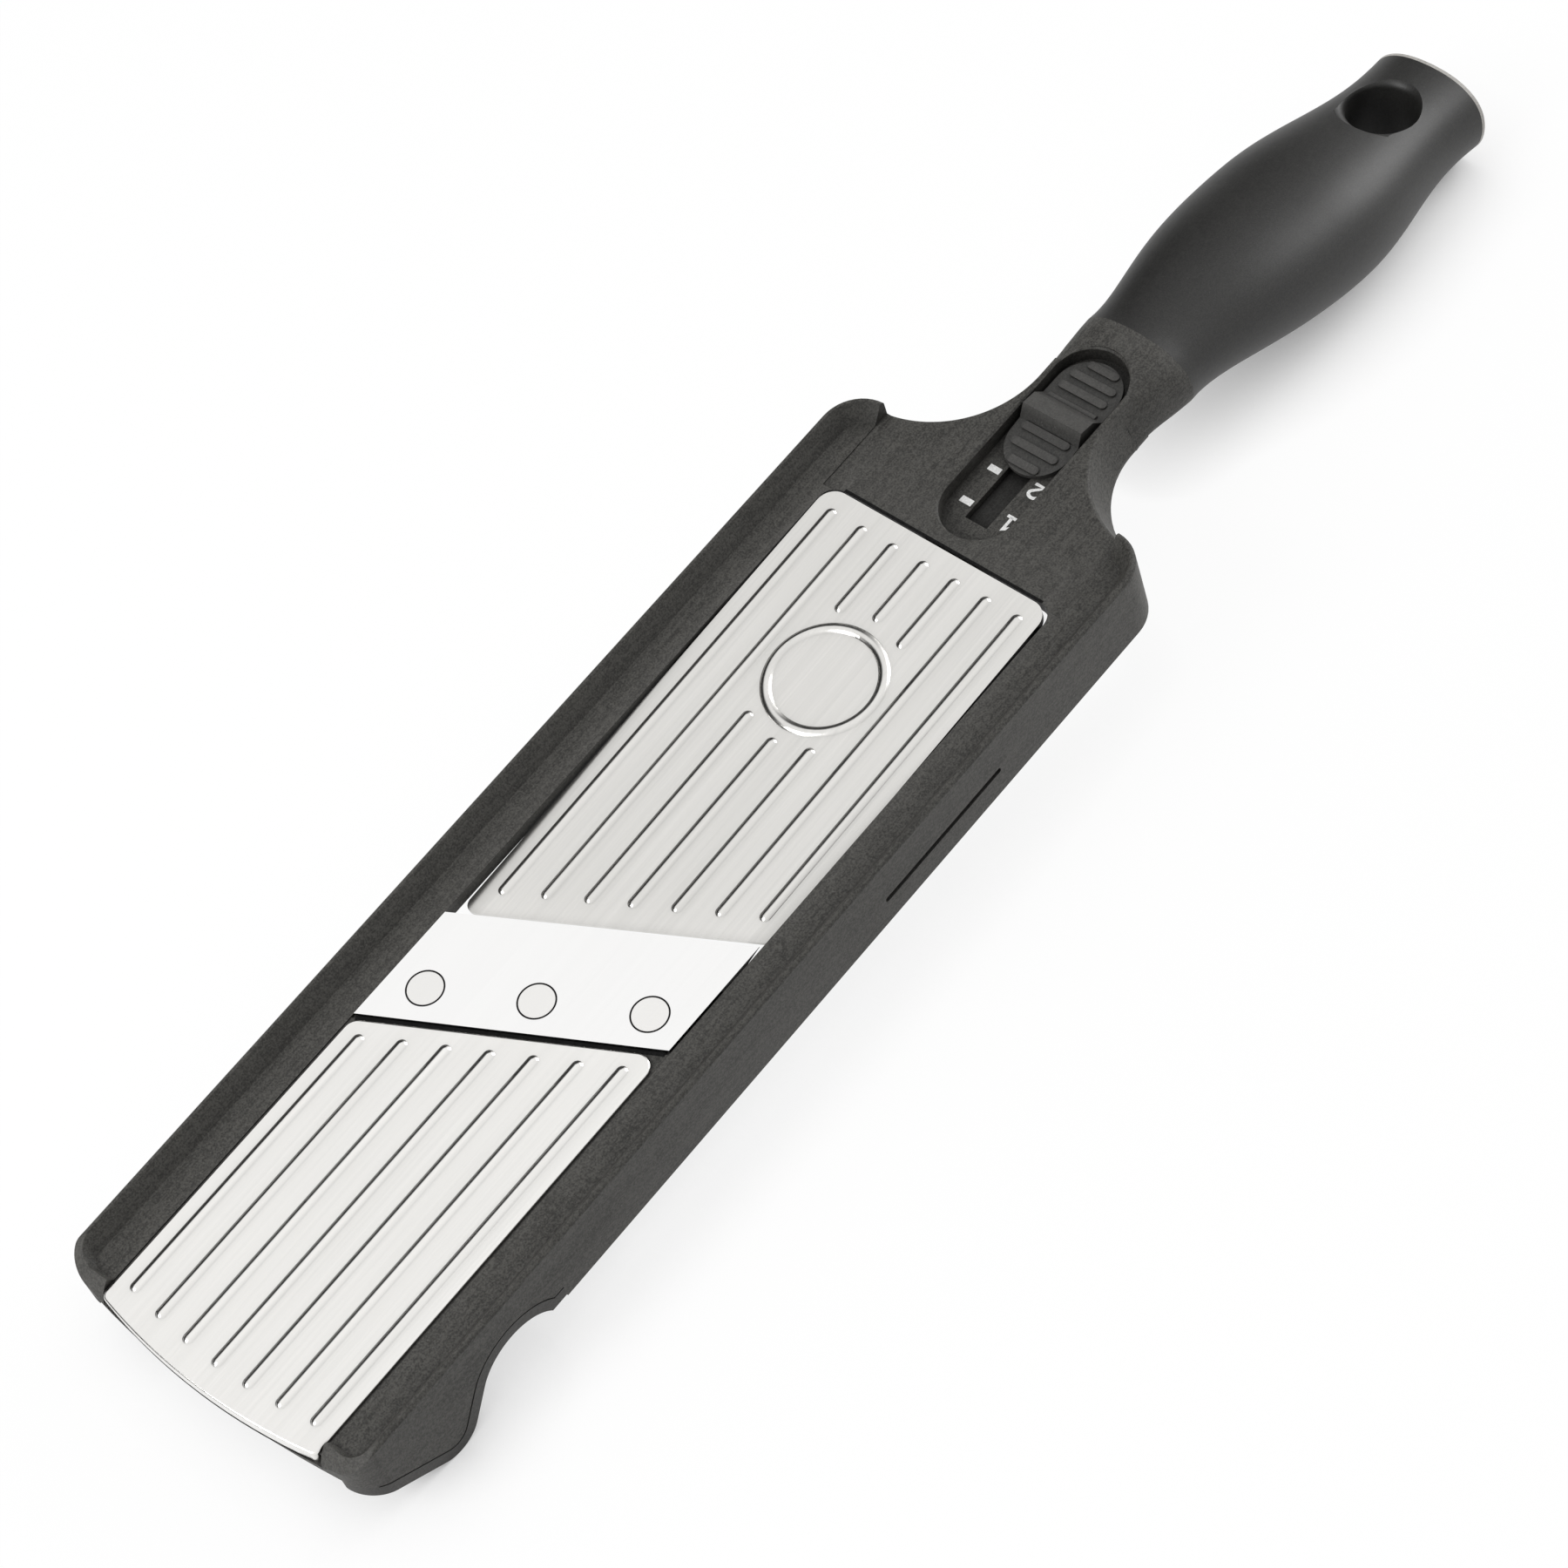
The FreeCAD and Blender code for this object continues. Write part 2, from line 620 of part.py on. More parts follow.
def rail_block():
    """Outer form of the rails: the plan block with a round crest, cut below by the skirt's edge."""
    block = body_plan(-2 * FOOT_DEPTH, LIP_Z)
    crest = [edge for edge in block.Edges if edge.BoundBox.ZMin > LIP_Z - TINY]
    block = block.makeFillet(LIP_ROUND, crest)
    y = -BODY_WIDTH
    edges = foot_edges(0, y)
    nub = edges[0].Vertexes[0].Point
    tip = edges[-1].Vertexes[-1].Point
    skirt = Vector(nub.x, y, SKIRT_Z)
    rear = Vector(SHOULDER_X + BITE, y, SKIRT_Z)
    deep = -3 * FOOT_DEPTH
    corners = [nub, skirt, rear, Vector(rear.x, y, deep), Vector(tip.x, y, deep), tip]
    edges += [line(a, b) for a, b in zip(corners, corners[1:])]
    below = Part.Face(Part.Wire(Part.__sortEdges__(edges))).extrude(Vector(0, 2 * BODY_WIDTH, 0))
    return block.cut(below)


def neck_form(inset, top, bottom, x0):
    """Neck and its flare to the shoulders, drafted outwards, drawn in by an inset."""
    wires = []
    end = CAVITY_END
    for z in (bottom, top):
        spread = NECK_DRAFT * (DECK_Z - z)
        radius = NECK_FLARE_R - spread + inset
        half = NECK_TOP_WIDTH / 2 + spread - inset
        wide = NECK_FLARE_HALF - inset
        start = FLARE_X - math.sqrt(radius ** 2 - (FLARE_Y - wide) ** 2)
        edges = []
        for side in (1, -1):
            begin = Vector(start, side * wide, z)
            finish = Vector(FLARE_X, side * half, z)
            angle = (math.atan2(FLARE_Y - wide, FLARE_X - start) + math.pi / 2) / 2
            reach = Vector(radius * math.cos(angle), radius * math.sin(angle), 0)
            middle = Vector(FLARE_X - reach.x, side * (FLARE_Y - reach.y), z)
            edges += [line(Vector(x0, side * wide, z), begin), arc(begin, middle, finish)]
            edges.append(line(finish, Vector(end, side * half, z)))
        edges.append(line(Vector(end, half, z), Vector(end, -half, z)))
        edges.append(line(Vector(x0, wide, z), Vector(x0, -wide, z)))
        wires.append(Part.Wire(Part.__sortEdges__(edges)))
    return Part.makeLoft(wires, True, True)


def level_edges(shape, z, x_from):
    """Edges at one height behind a place on X, without those that run square across."""
    found = []
    for edge in shape.Edges:
        limits = edge.BoundBox
        level = abs(limits.ZMin - z) < TINY and abs(limits.ZMax - z) < TINY
        if level and limits.XLength > TINY and limits.XMin > x_from - TINY:
            found.append(edge)
    return found


def neck():
    """Solid neck with soft upper and lower edges."""
    start = SHOULDER_X - WALL
    form = neck_form(0, DECK_Z, SKIRT_Z, start)
    form = form.makeFillet(NECK_ROUND, level_edges(form, DECK_Z, start))
    return form.makeFillet(NECK_UNDER_ROUND, level_edges(form, SKIRT_Z, start))


def section(x, half_width, top, bottom, power, taper):
    """Closed smooth section across X: a rounded oblong, narrower towards the top by its taper."""
    centre = (top + bottom) / 2
    half_height = (top - bottom) / 2
    points = []
    for i in range(SECTION_POINTS):
        t = 2 * math.pi * (i + 0.5) / SECTION_POINTS
        c = math.copysign(abs(math.cos(t)) ** (2 / power), math.cos(t))
        s = math.copysign(abs(math.sin(t)) ** (2 / power), math.sin(t))
        points.append(Vector(x, half_width * c * (1 - taper * s), centre + half_height * s))
    curve = Part.BSplineCurve()
    curve.interpolate(points, True)
    return Part.Wire(curve.toShape())


# Handle sections: distance behind the grip's seam, half width, half height and centre height
HANDLE = [
    (0.0, 13.7, 10.2, -10.3),
    (11.0, 14.6, 10.9, -11.6),
    (24.0, 17.2, 12.9, -13.9),
    (38.0, 18.9, 14.1, -17.3),
    (52.0, 19.2, 14.4, -20.6),
    (66.0, 17.4, 13.2, -23.5),
    (80.0, 14.7, 11.3, -26.3),
    (92.0, 14.1, 10.6, -28.8),
    (104.0, 14.9, 10.8, -31.4),
]


def handle_form():
    """Loft through the handle's sections, from the seam to past its end."""
    wires = []
    for x, half_width, half_height, centre in HANDLE:
        top = centre + half_height
        wires.append(section(SEAM_X + x, half_width, top, centre - half_height, GRIP_POWER, 0.0))
    return Part.makeLoft(wires, True, False)


def ahead_of_end(gap):
    """Point on the handle's axis, a gap ahead of the middle of its end."""
    return Vector(SEAM_X + GRIP_LENGTH - gap * math.cos(DROOP), 0, -END_DROP + gap * math.sin(DROOP))


def behind_end(gap):
    """Large block behind a plane across the handle, a gap ahead of its end."""
    size = GRIP_LENGTH
    block = Part.makeBox(size, size, size, Vector(0, -size / 2, -size / 2))
    block.rotate(Vector(0, 0, 0), Vector(0, 1, 0), DROOP_DEG)
    block.translate(ahead_of_end(gap))
    return block


def hang_cutter():
    """Round hole across the handle with soft mouths."""
    reach = 3 * HANG_HALF
    wide = HANG_R + HANG_MOUTH
    bend = HANG_MOUTH * (1 - math.sqrt(0.5))
    edges = []
    for side in (-1, 1):
        mouth = Vector(wide, 0, side * HANG_HALF)
        wall = Vector(HANG_R, 0, side * (HANG_HALF - HANG_MOUTH))
        outer = Vector(wide, 0, side * reach)
        edges.append(arc(mouth, Vector(HANG_R + bend, 0, side * (HANG_HALF - bend)), wall))
        edges += [line(outer, mouth), line(Vector(0, 0, side * reach), outer)]
    edges.append(line(Vector(HANG_R, 0, HANG_MOUTH - HANG_HALF), Vector(HANG_R, 0, HANG_HALF - HANG_MOUTH)))
    edges.append(line(Vector(0, 0, -reach), Vector(0, 0, reach)))
    wire = Part.Wire(Part.__sortEdges__(edges))
    cutter = Part.Face(wire).revolve(Vector(0, 0, 0), Vector(0, 0, 1), 360)
    cutter.rotate(Vector(0, 0, 0), Vector(0, 1, 0), DROOP_DEG)
    cutter.translate(ahead_of_end(HANG_X))
    return cutter


def tang():
    """Flat core of the handle inside the grip, tapered and sloping with it."""
    centre = HANDLE[0][3]
    end = centre - TANG_DROP
    outline = [(SEAM_X, centre + TANG_HEIGHT / 2), (SEAM_X + TANG_LENGTH, end + TANG_END_HEIGHT / 2)]
    outline += [(SEAM_X + TANG_LENGTH, end - TANG_END_HEIGHT / 2), (SEAM_X, centre - TANG_HEIGHT / 2)]
    return side_prism(outline, -TANG_WIDTH / 2, TANG_WIDTH / 2)


def grip():
    """Soft grip moulded over the core, with the hanging hole."""
    return handle_form().cut(tang()).cut(behind_end(CAP)).cut(hang_cutter())


def handle_end_cap():
    """Thin cap across the end of the grip."""
    return handle_form().cut(behind_end(0)).common(behind_end(CAP))


def collar():
    """Rigid collar between the neck and the grip's seam."""
    start = SEAM_X - COLLAR_LENGTH
    spread = NECK_DRAFT * (DECK_Z - SKIRT_Z)
    half = NECK_TOP_WIDTH / 2 + spread / 2
    first = section(start, half, DECK_Z, SKIRT_Z, NECK_POWER, spread / 2 / half)
    seam_half, seam_height, seam_z = HANDLE[0][1:]
    last = section(SEAM_X, seam_half, seam_z + seam_height, seam_z - seam_height, GRIP_POWER, 0.0)
    middle = section((start + SEAM_X) / 2, (half + seam_half) / 2, DECK_Z + COLLAR_RISE,
                     SKIRT_Z - COLLAR_SAG, COLLAR_POWER, COLLAR_TAPER)
    return Part.makeLoft([first, middle, last], True, False)


def skew_corners(front, rear_x, half):
    """Plan corners of a strip from a skewed front line to a square rear line."""
    return [(-front - SLOPE * half, half), (-front + SLOPE * half, -half), (rear_x, -half), (rear_x, half)]


def rail_channel():
    """Space between the rails above the ledges: drafted flanks, closed round all four corners."""
    wires = []
    sag = BED_FRONT_X + bow(BED_RADIUS, BODY_HALF - BODY_CORNER)
    s = math.sqrt(0.5)
    for z, inset in ((LEDGE_Z, LIP_CREST + LIP_RUN), (LIP_Z, LIP_CREST)):
        half = BODY_HALF - inset
        edges = []
        ends = []
        for end, way, radius in ((sag + inset, 1, BODY_CORNER), (SHOULDER_X - inset, -1, SHOULDER_R)):
            corner = max(radius - inset, RIM_CORNER)
            bend = corner * (1 - s)
            for side in (1, -1):
                start = Vector(end, side * (half - corner), z)
                middle = Vector(end + way * bend, side * (half - bend), z)
                edges.append(arc(start, middle, Vector(end + way * corner, side * half, z)))
            edges.append(line(Vector(end, half - corner, z), Vector(end, corner - half, z)))
            ends.append(end + way * corner)
        edges += [line(Vector(ends[0], y, z), Vector(ends[1], y, z)) for y in (half, -half)]
        wires.append(Part.Wire(Part.__sortEdges__(edges)))
    return Part.makeLoft(wires, True, True)


def rim_slope():
    """Cutters that round the rails off downwards at the front corners, beside the front plate."""
    y = OPENING_HALF
    crest = Vector(BED_FRONT_X + RIM_LENGTH, y, LIP_Z)
    low = Vector(BED_FRONT_X + bow(BED_RADIUS, y), y, LIP_Z - RIM_FALL)
    middle = (crest + low) / 2 + Vector(-RIM_BULGE, 0, RIM_BULGE)
    above = LIP_Z + BITE
    ahead = low.x - BITE
    corners = [low, Vector(ahead, y, low.z), Vector(ahead, y, above), Vector(crest.x, y, above), crest]
    edges = [arc(crest, middle, low)] + [line(a, b) for a, b in zip(corners, corners[1:])]
    return both_sides(Part.Face(Part.Wire(edges)).extrude(Vector(0, BODY_HALF, 0)))


def frame():
    """One-piece moulded frame: rails, bed, deck, neck and the handle's core."""
    body = rail_block().cut(rail_channel()).cut(rim_slope()).cut(underside_cuts()).cut(bed_cuts())
    far = BODY_WIDTH
    step = OPENING_HALF + DECK_STEP
    body = body.cut(box(DECK_X - BITE, far * 2, -step, step, DECK_Z, far))
    outer = neck()
    whole = body.fuse([outer, collar().fuse(tang())])
    whole = whole.cut(neck_form(WALL, SLAB_Z, 2 * SKIRT_Z, SHOULDER_X - 2 * WALL))
    rim = RECESS_HALF + RECESS_WALL
    well = box(RECESS_X - RECESS_WALL, CAVITY_END + BITE, -rim, rim, FLOOR_UNDER, DECK_Z)
    room = outer.fuse(box(DECK_X, SHOULDER_X, -step, step, SKIRT_Z, DECK_Z))
    whole = whole.fuse([well.common(room)] + frame_bosses() + bed_ribs())
    return whole.cut(slide_cuts() + fastener_cuts() + pad_grooves()).removeSplitter()


def underside_cuts():
    """Hollows under the rails: the long pocket behind the feet and the space between the feet."""
    deep = -BODY_WIDTH
    foot_rear = FRONT_X + NUB_X + WALL
    rear = SHOULDER_X - WALL
    pocket = box(foot_rear, rear, -POCKET_HALF, POCKET_HALF, deep, SLAB_Z)
    pocket = pocket.makeFillet(SHOULDER_R - WALL, upright_edges(pocket, rear - BITE, rear + BITE))
    between = box(FRONT_X, foot_rear + BITE, -FOOT_IN, FOOT_IN, deep, SLAB_Z)
    bed = bowed_block(BED_FRONT_X + WALL, BED_RADIUS, FOOT_IN, deep, SLAB_Z)
    nose = box(FRONT_X - BITE, foot_rear + BITE, -FOOT_IN, FOOT_IN, deep, -NOSE_DROP)
    return [pocket, between.common(bed), nose]


def bed_cuts():
    """Seats of the front plate, its lip and the blade, the ramp's opening and the bed's rear chamfer."""
    high = BODY_WIDTH
    wide = OPENING_HALF
    rebate = box(FRONT_X - BITE, FRONT_X + RIB_FRONT_MARGIN, -wide, wide, -FRONT_LIP - LIP_GAP, 0)
    inside = bowed_block(FRONT_X + SHEET + LIP_GAP, FRONT_RADIUS, wide, -high, high)
    opening = prism(skew_corners(BED_REAR, DECK_X, wide), SLAB_Z - BITE, high)
    opening = opening.makeFillet(RAMP_CORNER, upright_edges(opening, DECK_X - BITE, DECK_X + BITE))
    plate_seat = prism(skew_corners(2 * FRONT_REACH, -BED_REAR, wide), -SHEET, high)
    seat = (BLADE_FRONT + PLATE_REAR) / 2
    blade_seat = [(-seat, -BLADE_THICK), (0, -BLADE_THICK), (0, high), (-seat, high)]
    wedge = [(-BED_REAR - BED_CHAMFER, SLAB_Z), (-BED_REAR + BITE, SLAB_Z)]
    wedge.append((-BED_REAR + BITE, -BLADE_THICK - BED_EDGE))
    cuts = [rebate.cut(inside), opening, plate_seat]
    return cuts + [side_prism(outline, -wide, wide, SLOPE) for outline in (blade_seat, wedge)]


def slide_cuts():
    """Recess of the thumb slider, the slot of its stem and the side slots of the slide's lugs."""
    half = SLOT_WIDTH / 2
    recess = stadium(RECESS_X, RECESS_X + RECESS_LENGTH, RECESS_HALF, FLOOR_Z, BODY_WIDTH)
    soft = RECESS_CHAMFER
    rim = stadium(RECESS_X - soft, RECESS_X + RECESS_LENGTH + soft, RECESS_HALF + soft, DECK_Z - soft,
                  BODY_WIDTH)
    rim = rim.makeChamfer(soft, [e for e in rim.Edges if e.BoundBox.ZMax < DECK_Z])
    slot = box(STEM_FRONT - TRAVEL - STEM_GAP, STEM_REAR + STEM_GAP, -half, half,
               FLOOR_UNDER - BITE, BODY_WIDTH)
    lug_x = CAM_X - LUG_LEAD
    lug_half = LUG_THICK / 2 + LUG_GAP
    side = box(lug_x - TRAVEL - LUG_END_GAP, lug_x + LUG_LENGTH + LUG_END_GAP, FOOT_IN, BODY_WIDTH,
               SLED_Z - lug_half, SLED_Z + lug_half)
    ends = [e for e in side.Edges if e.BoundBox.XLength < TINY and e.BoundBox.ZLength < TINY]
    return [recess, rim, slot] + both_sides(side.makeFillet(LUG_SLOT_ROUND, ends))


def fastener_cuts():
    """Holes in the frame for the hinge pin, the rivets, the cover's screws and the cover's tongue."""
    cuts = [hinge_pin()]
    cuts += [post(x, y, RIVET_SHANK_R, -BODY_WIDTH, 0) for x, y in rivet_places()]
    screw = post(SCREW_X, COVER_BOSS_Y, SCREW_R, COVER_TOP - BITE, COVER_TOP + SCREW_DEPTH)
    half = TONGUE_WIDTH / 2 + COVER_GAP
    tongue = box(CAVITY_END - BITE, CAVITY_END + COVER_TONGUE + COVER_GAP, -half, half,
                 COVER_TOP - COVER - COVER_GAP, COVER_TOP + COVER_GAP)
    return cuts + both_sides(screw) + [tongue]


def frame_bosses():
    """Bosses under the ledges for the hinge pin and under the deck for the cover's screws."""
    block = box(HINGE_X - HINGE_BOSS, HINGE_X + HINGE_BOSS, OPENING_HALF + SIDE_GAP, POCKET_HALF + WALL / 2,
                HINGE_Z - HINGE_BOSS, SLAB_Z + BITE)
    pillar = post(SCREW_X, COVER_BOSS_Y, COVER_BOSS_R, COVER_TOP, SLAB_Z + BITE)
    return both_sides(block) + both_sides(pillar)


def bed_ribs():
    """Stiffening ribs under the bed of the front plate."""
    ribs = []
    for i in (-1, 0, 1):
        y = i * BED_RIB_PITCH
        front = BED_FRONT_X + BED_RIB_MARGIN
        rear = -BLADE_FRONT - SLOPE * y
        ribs.append(box(front, rear, y - BED_RIB / 2, y + BED_RIB / 2, SLAB_Z - BED_RIB_DEPTH, SLAB_Z))
    return ribs


def adjuster_slide():
    """Slide under the ramp: spine, cross bar, two cheeks with cam slots and lugs in the side slots."""
    low, high = cam_points()
    along = high - low
    rise = along.z / along.x
    front = low.x - CAM_PIN_R - CAM_GAP - CAM_WALL
    rear = BAR_X + CROSS_BAR
    reach = CAM_PIN_R + CAM_GAP + CAM_WALL
    z_front = low.z - (low.x - front) * rise
    z_rear = low.z + (rear - low.x) * rise
    outline = [(front, z_front - reach), (rear, z_rear - reach)]
    outline += [(rear, z_rear + reach), (front, z_front + reach)]
    cheek = side_prism(outline, CHEEK_IN, CHEEK_IN + CHEEK)
    cutter = cam_slot(low, high)
    cheeks = [c.cut(cutter) for c in both_sides(cheek)]
    half = SPINE_WIDTH / 2
    spine = box(BAR_X, SPINE_END, -half, half, SLED_UNDER, SLED_TOP)
    bar = box(BAR_X, rear, -CHEEK_IN, CHEEK_IN, SLED_UNDER, SLED_TOP)
    lug_x = CAM_X - LUG_LEAD
    arm = box(lug_x, lug_x + LUG_LENGTH, CHEEK_IN + CHEEK, POCKET_HALF - SLIDE_GAP, SLED_UNDER, SLED_TOP)
    lug = box(lug_x, lug_x + LUG_LENGTH, POCKET_HALF - 2 * SLIDE_GAP, BODY_HALF - LUG_INSET,
              SLED_Z - LUG_THICK / 2, SLED_Z + LUG_THICK / 2)
    slide = spine.fuse([bar] + cheeks + both_sides(arm) + both_sides(lug)).removeSplitter()
    cuts = [post(STEM_FRONT + STEM_LENGTH / 2, 0, SCREW_R, SLED_UNDER - BITE, SLED_TOP + BITE)]
    for i in range(STEPS + 1):
        x = detent_x() + i * TRAVEL / STEPS
        notch = rod(x, SLED_UNDER - SPRING_BUMP_R + NOTCH_DEPTH, SPRING_BUMP_R + CAM_GAP,
                    SPRING_Y - SPRING_WIDTH, SPRING_Y + SPRING_WIDTH)
        cuts.append(notch)
    return slide.cut(cuts).removeSplitter()


def cam_slot(low, high):
    """Cutter for the sloping cam slot in both cheeks."""
    radius = CAM_PIN_R + CAM_GAP
    along = (high - low).normalize()
    across = Vector(-along.z, 0, along.x) * radius
    start = low - along * CAM_GAP
    end = high + along * CAM_GAP
    wide = CHEEK_IN + CHEEK + BITE
    corners = [start - across, end - across, end + across, start + across]
    bar = side_prism([(p.x, p.z) for p in corners], -wide, wide)
    return bar.fuse([rod(p.x, p.z, radius, -wide, wide) for p in (start, end)])


def detent_x():
    """Place of the spring's bump, under the front detent of the spine at rest."""
    return SPINE_END - TRAVEL - 2 * SPRING_BUMP_R


def detent_spring():
    """Leaf spring on the cover whose bump clicks into the slide's detents."""
    bump_x = detent_x()
    seat_x = COVER_X + COVER_T_LENGTH / 2
    seat_z = COVER_TOP + COVER_GAP
    ridge_z = SLED_UNDER - SPRING_BUMP_R + NOTCH_DEPTH
    y0 = SPRING_Y - SPRING_WIDTH / 2
    y1 = SPRING_Y + SPRING_WIDTH / 2
    foot = seat_x - SCREW_HEAD_R - SPRING_MARGIN
    bend = seat_x + SCREW_HEAD_R + SPRING_MARGIN
    leaf = [(foot, seat_z), (bend, seat_z), (bump_x, ridge_z - SPRING), (bump_x, ridge_z)]
    leaf += [(bend, seat_z + SPRING), (foot, seat_z + SPRING)]
    bump = rod(bump_x, ridge_z, SPRING_BUMP_R, y0, y1)
    wide = 2 * SPRING_BUMP_R
    bump = bump.cut(box(bump_x - wide, bump_x + wide, y0, y1, ridge_z - wide, ridge_z - SPRING))
    spring = side_prism(leaf, y0, y1).fuse(bump).removeSplitter()
    return spring.cut(post(seat_x, SPRING_Y, SCREW_R, seat_z - BITE, seat_z + BITE))


def neck_cover():
    """Cover under the neck: a T with screw holes in its arms and a tongue at its rear."""
    top = COVER_TOP
    slim = NECK_TOP_WIDTH / 2 + NECK_DRAFT * (DECK_Z - COVER_TOP) - WALL - COVER_GAP
    arm = COVER_BOSS_Y + COVER_BOSS_R
    plate = box(COVER_X, COVER_X + COVER_T_LENGTH, -arm, arm, top - COVER, top)
    plate = plate.fuse(box(COVER_X, CAVITY_END - COVER_GAP, -slim, slim, top - COVER, top))
    half = TONGUE_WIDTH / 2
    tongue = box(CAVITY_END - BITE, CAVITY_END + COVER_TONGUE, -half, half, top - COVER, top)
    seat_x = COVER_X + COVER_T_LENGTH / 2
    pad = post(seat_x, SPRING_Y, SCREW_HEAD_R, top, top + COVER_GAP)
    cover = plate.fuse([tongue, pad]).removeSplitter()
    holes = both_sides(post(SCREW_X, COVER_BOSS_Y, SCREW_R, top - 2 * COVER, top + BITE))
    holes.append(post(seat_x, SPRING_Y, SPRING_SCREW_R, top - SPRING_SCREW_DEPTH, top + BITE))
    return cover.cut(holes)


def headed_screw(x, y, under, tip):
    """Screw standing on its head: the head below a seat, the shank up to its tip."""
    head = post(x, y, SCREW_HEAD_R, under - SCREW_HEAD, under)
    return head.fuse(post(x, y, SCREW_R, under, tip)).removeSplitter()


def cover_screws():
    """Two screws that hold the neck cover to the deck's bosses."""
    screw = headed_screw(SCREW_X, COVER_BOSS_Y, COVER_TOP - COVER, COVER_TOP + SCREW_DEPTH)
    return Part.makeCompound(both_sides(screw))


def slider_screw():
    """Screw that clamps the thumb slider's stem to the slide."""
    return headed_screw(STEM_FRONT + STEM_LENGTH / 2, 0, SLED_UNDER, SLED_TOP + SLIDER_SCREW_DEPTH)


def spring_screw():
    """Short screw that holds the detent spring on the cover."""
    seat = COVER_TOP + COVER_GAP + SPRING
    x = COVER_X + COVER_T_LENGTH / 2
    head = post(x, SPRING_Y, SCREW_HEAD_R, seat, seat + SPRING_SCREW_HEAD)
    neck = post(x, SPRING_Y, SCREW_R, seat - SPRING, seat)
    tip = post(x, SPRING_Y, SPRING_SCREW_R, COVER_TOP - SPRING_SCREW_DEPTH, seat - SPRING)
    return head.fuse([neck, tip]).removeSplitter()


def slider_form(rise):
    """Saddle form of the thumb slider, with its upper face moved up by a rise."""
    base = FLOOR_Z + SLIDER_FLOAT
    x = NOSE_X
    tail = x + SLIDER_LENGTH
    nose = base + NOSE_THICK + rise
    crest = DECK_Z + CREST_Z + rise
    profile = [(x, base), (tail, base), (tail, crest - TAIL_END_DROP), (x + TAIL_X, crest - TAIL_DROP)]
    profile += [(x + BAND_X, crest - BAND_DROP), (x + CREST_X, crest), (x + SADDLE_X, nose + SADDLE_RISE)]
    profile.append((x, nose))
    half = SLIDER_WIDTH / 2
    return side_prism(profile, -half, half).common(stadium(x, tail, half, base, crest + BITE))


def thumb_slider():
    """Thumb slider: saddle form with grip bars and a ridge, and a stem through the floor's slot."""
    base = FLOOR_Z + SLIDER_FLOAT
    raised = slider_form(GRIP_BAR_RISE)
    bars = [slider_bar(d).common(raised) for d in bar_places()]
    ridge_z = DECK_Z + CREST_Z - TAIL_DROP
    reach = GRIP_BAR_SPAN * SLIDER_WIDTH / 2
    bars.append(rod(NOSE_X + TAIL_X, ridge_z, RIDGE_R, -reach, reach))
    stem_half = SLOT_WIDTH / 2 - STEM_GAP
    stem = box(STEM_FRONT, STEM_REAR, -stem_half, stem_half, SLED_TOP, base + NOSE_THICK / 2)
    slider = slider_form(0).fuse(bars + [stem]).removeSplitter()
    tip = SLED_TOP + SLIDER_SCREW_DEPTH
    return slider.cut(post(STEM_FRONT + STEM_LENGTH / 2, 0, SCREW_R, SLED_TOP - BITE, tip))


def slider_bar(d):
    """Upright bar with round ends across the slider, at a distance behind its nose."""
    full = SLIDER_WIDTH / 2
    near = min(d, SLIDER_LENGTH - d, full)
    half = GRIP_BAR / 2
    reach = GRIP_BAR_SPAN * math.sqrt(full ** 2 - (full - near) ** 2) - half
    x = NOSE_X + d
    bar = box(x - half, x + half, -reach, reach, FLOOR_Z + NOSE_THICK / 2, BODY_WIDTH)
    return bar.fuse([post(x, y, half, FLOOR_Z + NOSE_THICK / 2, BODY_WIDTH) for y in (-reach, reach)])


def bar_places():
    """Distance of each grip bar behind the slider's nose: rows on the nose and on the tail."""
    places = []
    for i in range(GRIP_BAR_ROWS):
        places.append(GRIP_BAR_MARGIN + i * NOSE_BAR_PITCH)
        places.append(SLIDER_LENGTH - GRIP_BAR_MARGIN - i * TAIL_BAR_PITCH)
    return places


def slicer():
    """Every piece of the slicer by name, on the bench frame."""
    return {
        "frame": frame(),
        "grip": grip(),
        "handle_end_cap": handle_end_cap(),
        "front_plate": front_plate(),
        "blade": blade(),
        "blade_rivets": blade_rivets(),
        "foot_pad_left": foot_pad(1),
        "foot_pad_right": foot_pad(-1),
        "hinge_pin": hinge_pin(),
        "neck_cover": neck_cover(),
        "cover_screws": cover_screws(),
        "detent_spring": detent_spring(),
        "spring_screw": spring_screw(),
        "ramp_plate": tilt_ramp(ramp_plate()),
        "ramp_carrier": tilt_ramp(ramp_carrier()),
        "cam_pin": tilt_ramp(cam_pin()),
        "adjuster_slide": adjuster_slide(),
        "thumb_slider": thumb_slider(),
        "slider_screw": slider_screw(),
    }


def turned(shape, angle):
    """Copy of a bench shape turned about the Y axis."""
    copy = shape.copy()
    copy.rotate(Vector(0, 0, 0), Vector(0, 1, 0), angle)
    return copy


def stand_angle(feet, heel):
    """Turn about Y that brings the lowest points of the feet and of the handle's end to one level."""
    angle = 0.0
    for _ in range(STAND_PASSES):
        foot_limits = turned(feet, angle).optimalBoundingBox(False)
        heel_limits = turned(heel, angle).optimalBoundingBox(False)
        apart = heel_limits.Center.x - foot_limits.Center.x
        angle -= math.degrees(math.atan2(foot_limits.ZMin - heel_limits.ZMin, apart))
    return angle


def stand_offset(shapes):
    """Move that puts the middle of the whole part's box over the origin and its lowest point on z = 0."""
    limits = Part.makeCompound(shapes).optimalBoundingBox(False)
    return Vector(-(limits.XMin + limits.XMax) / 2, 0, -limits.ZMin)


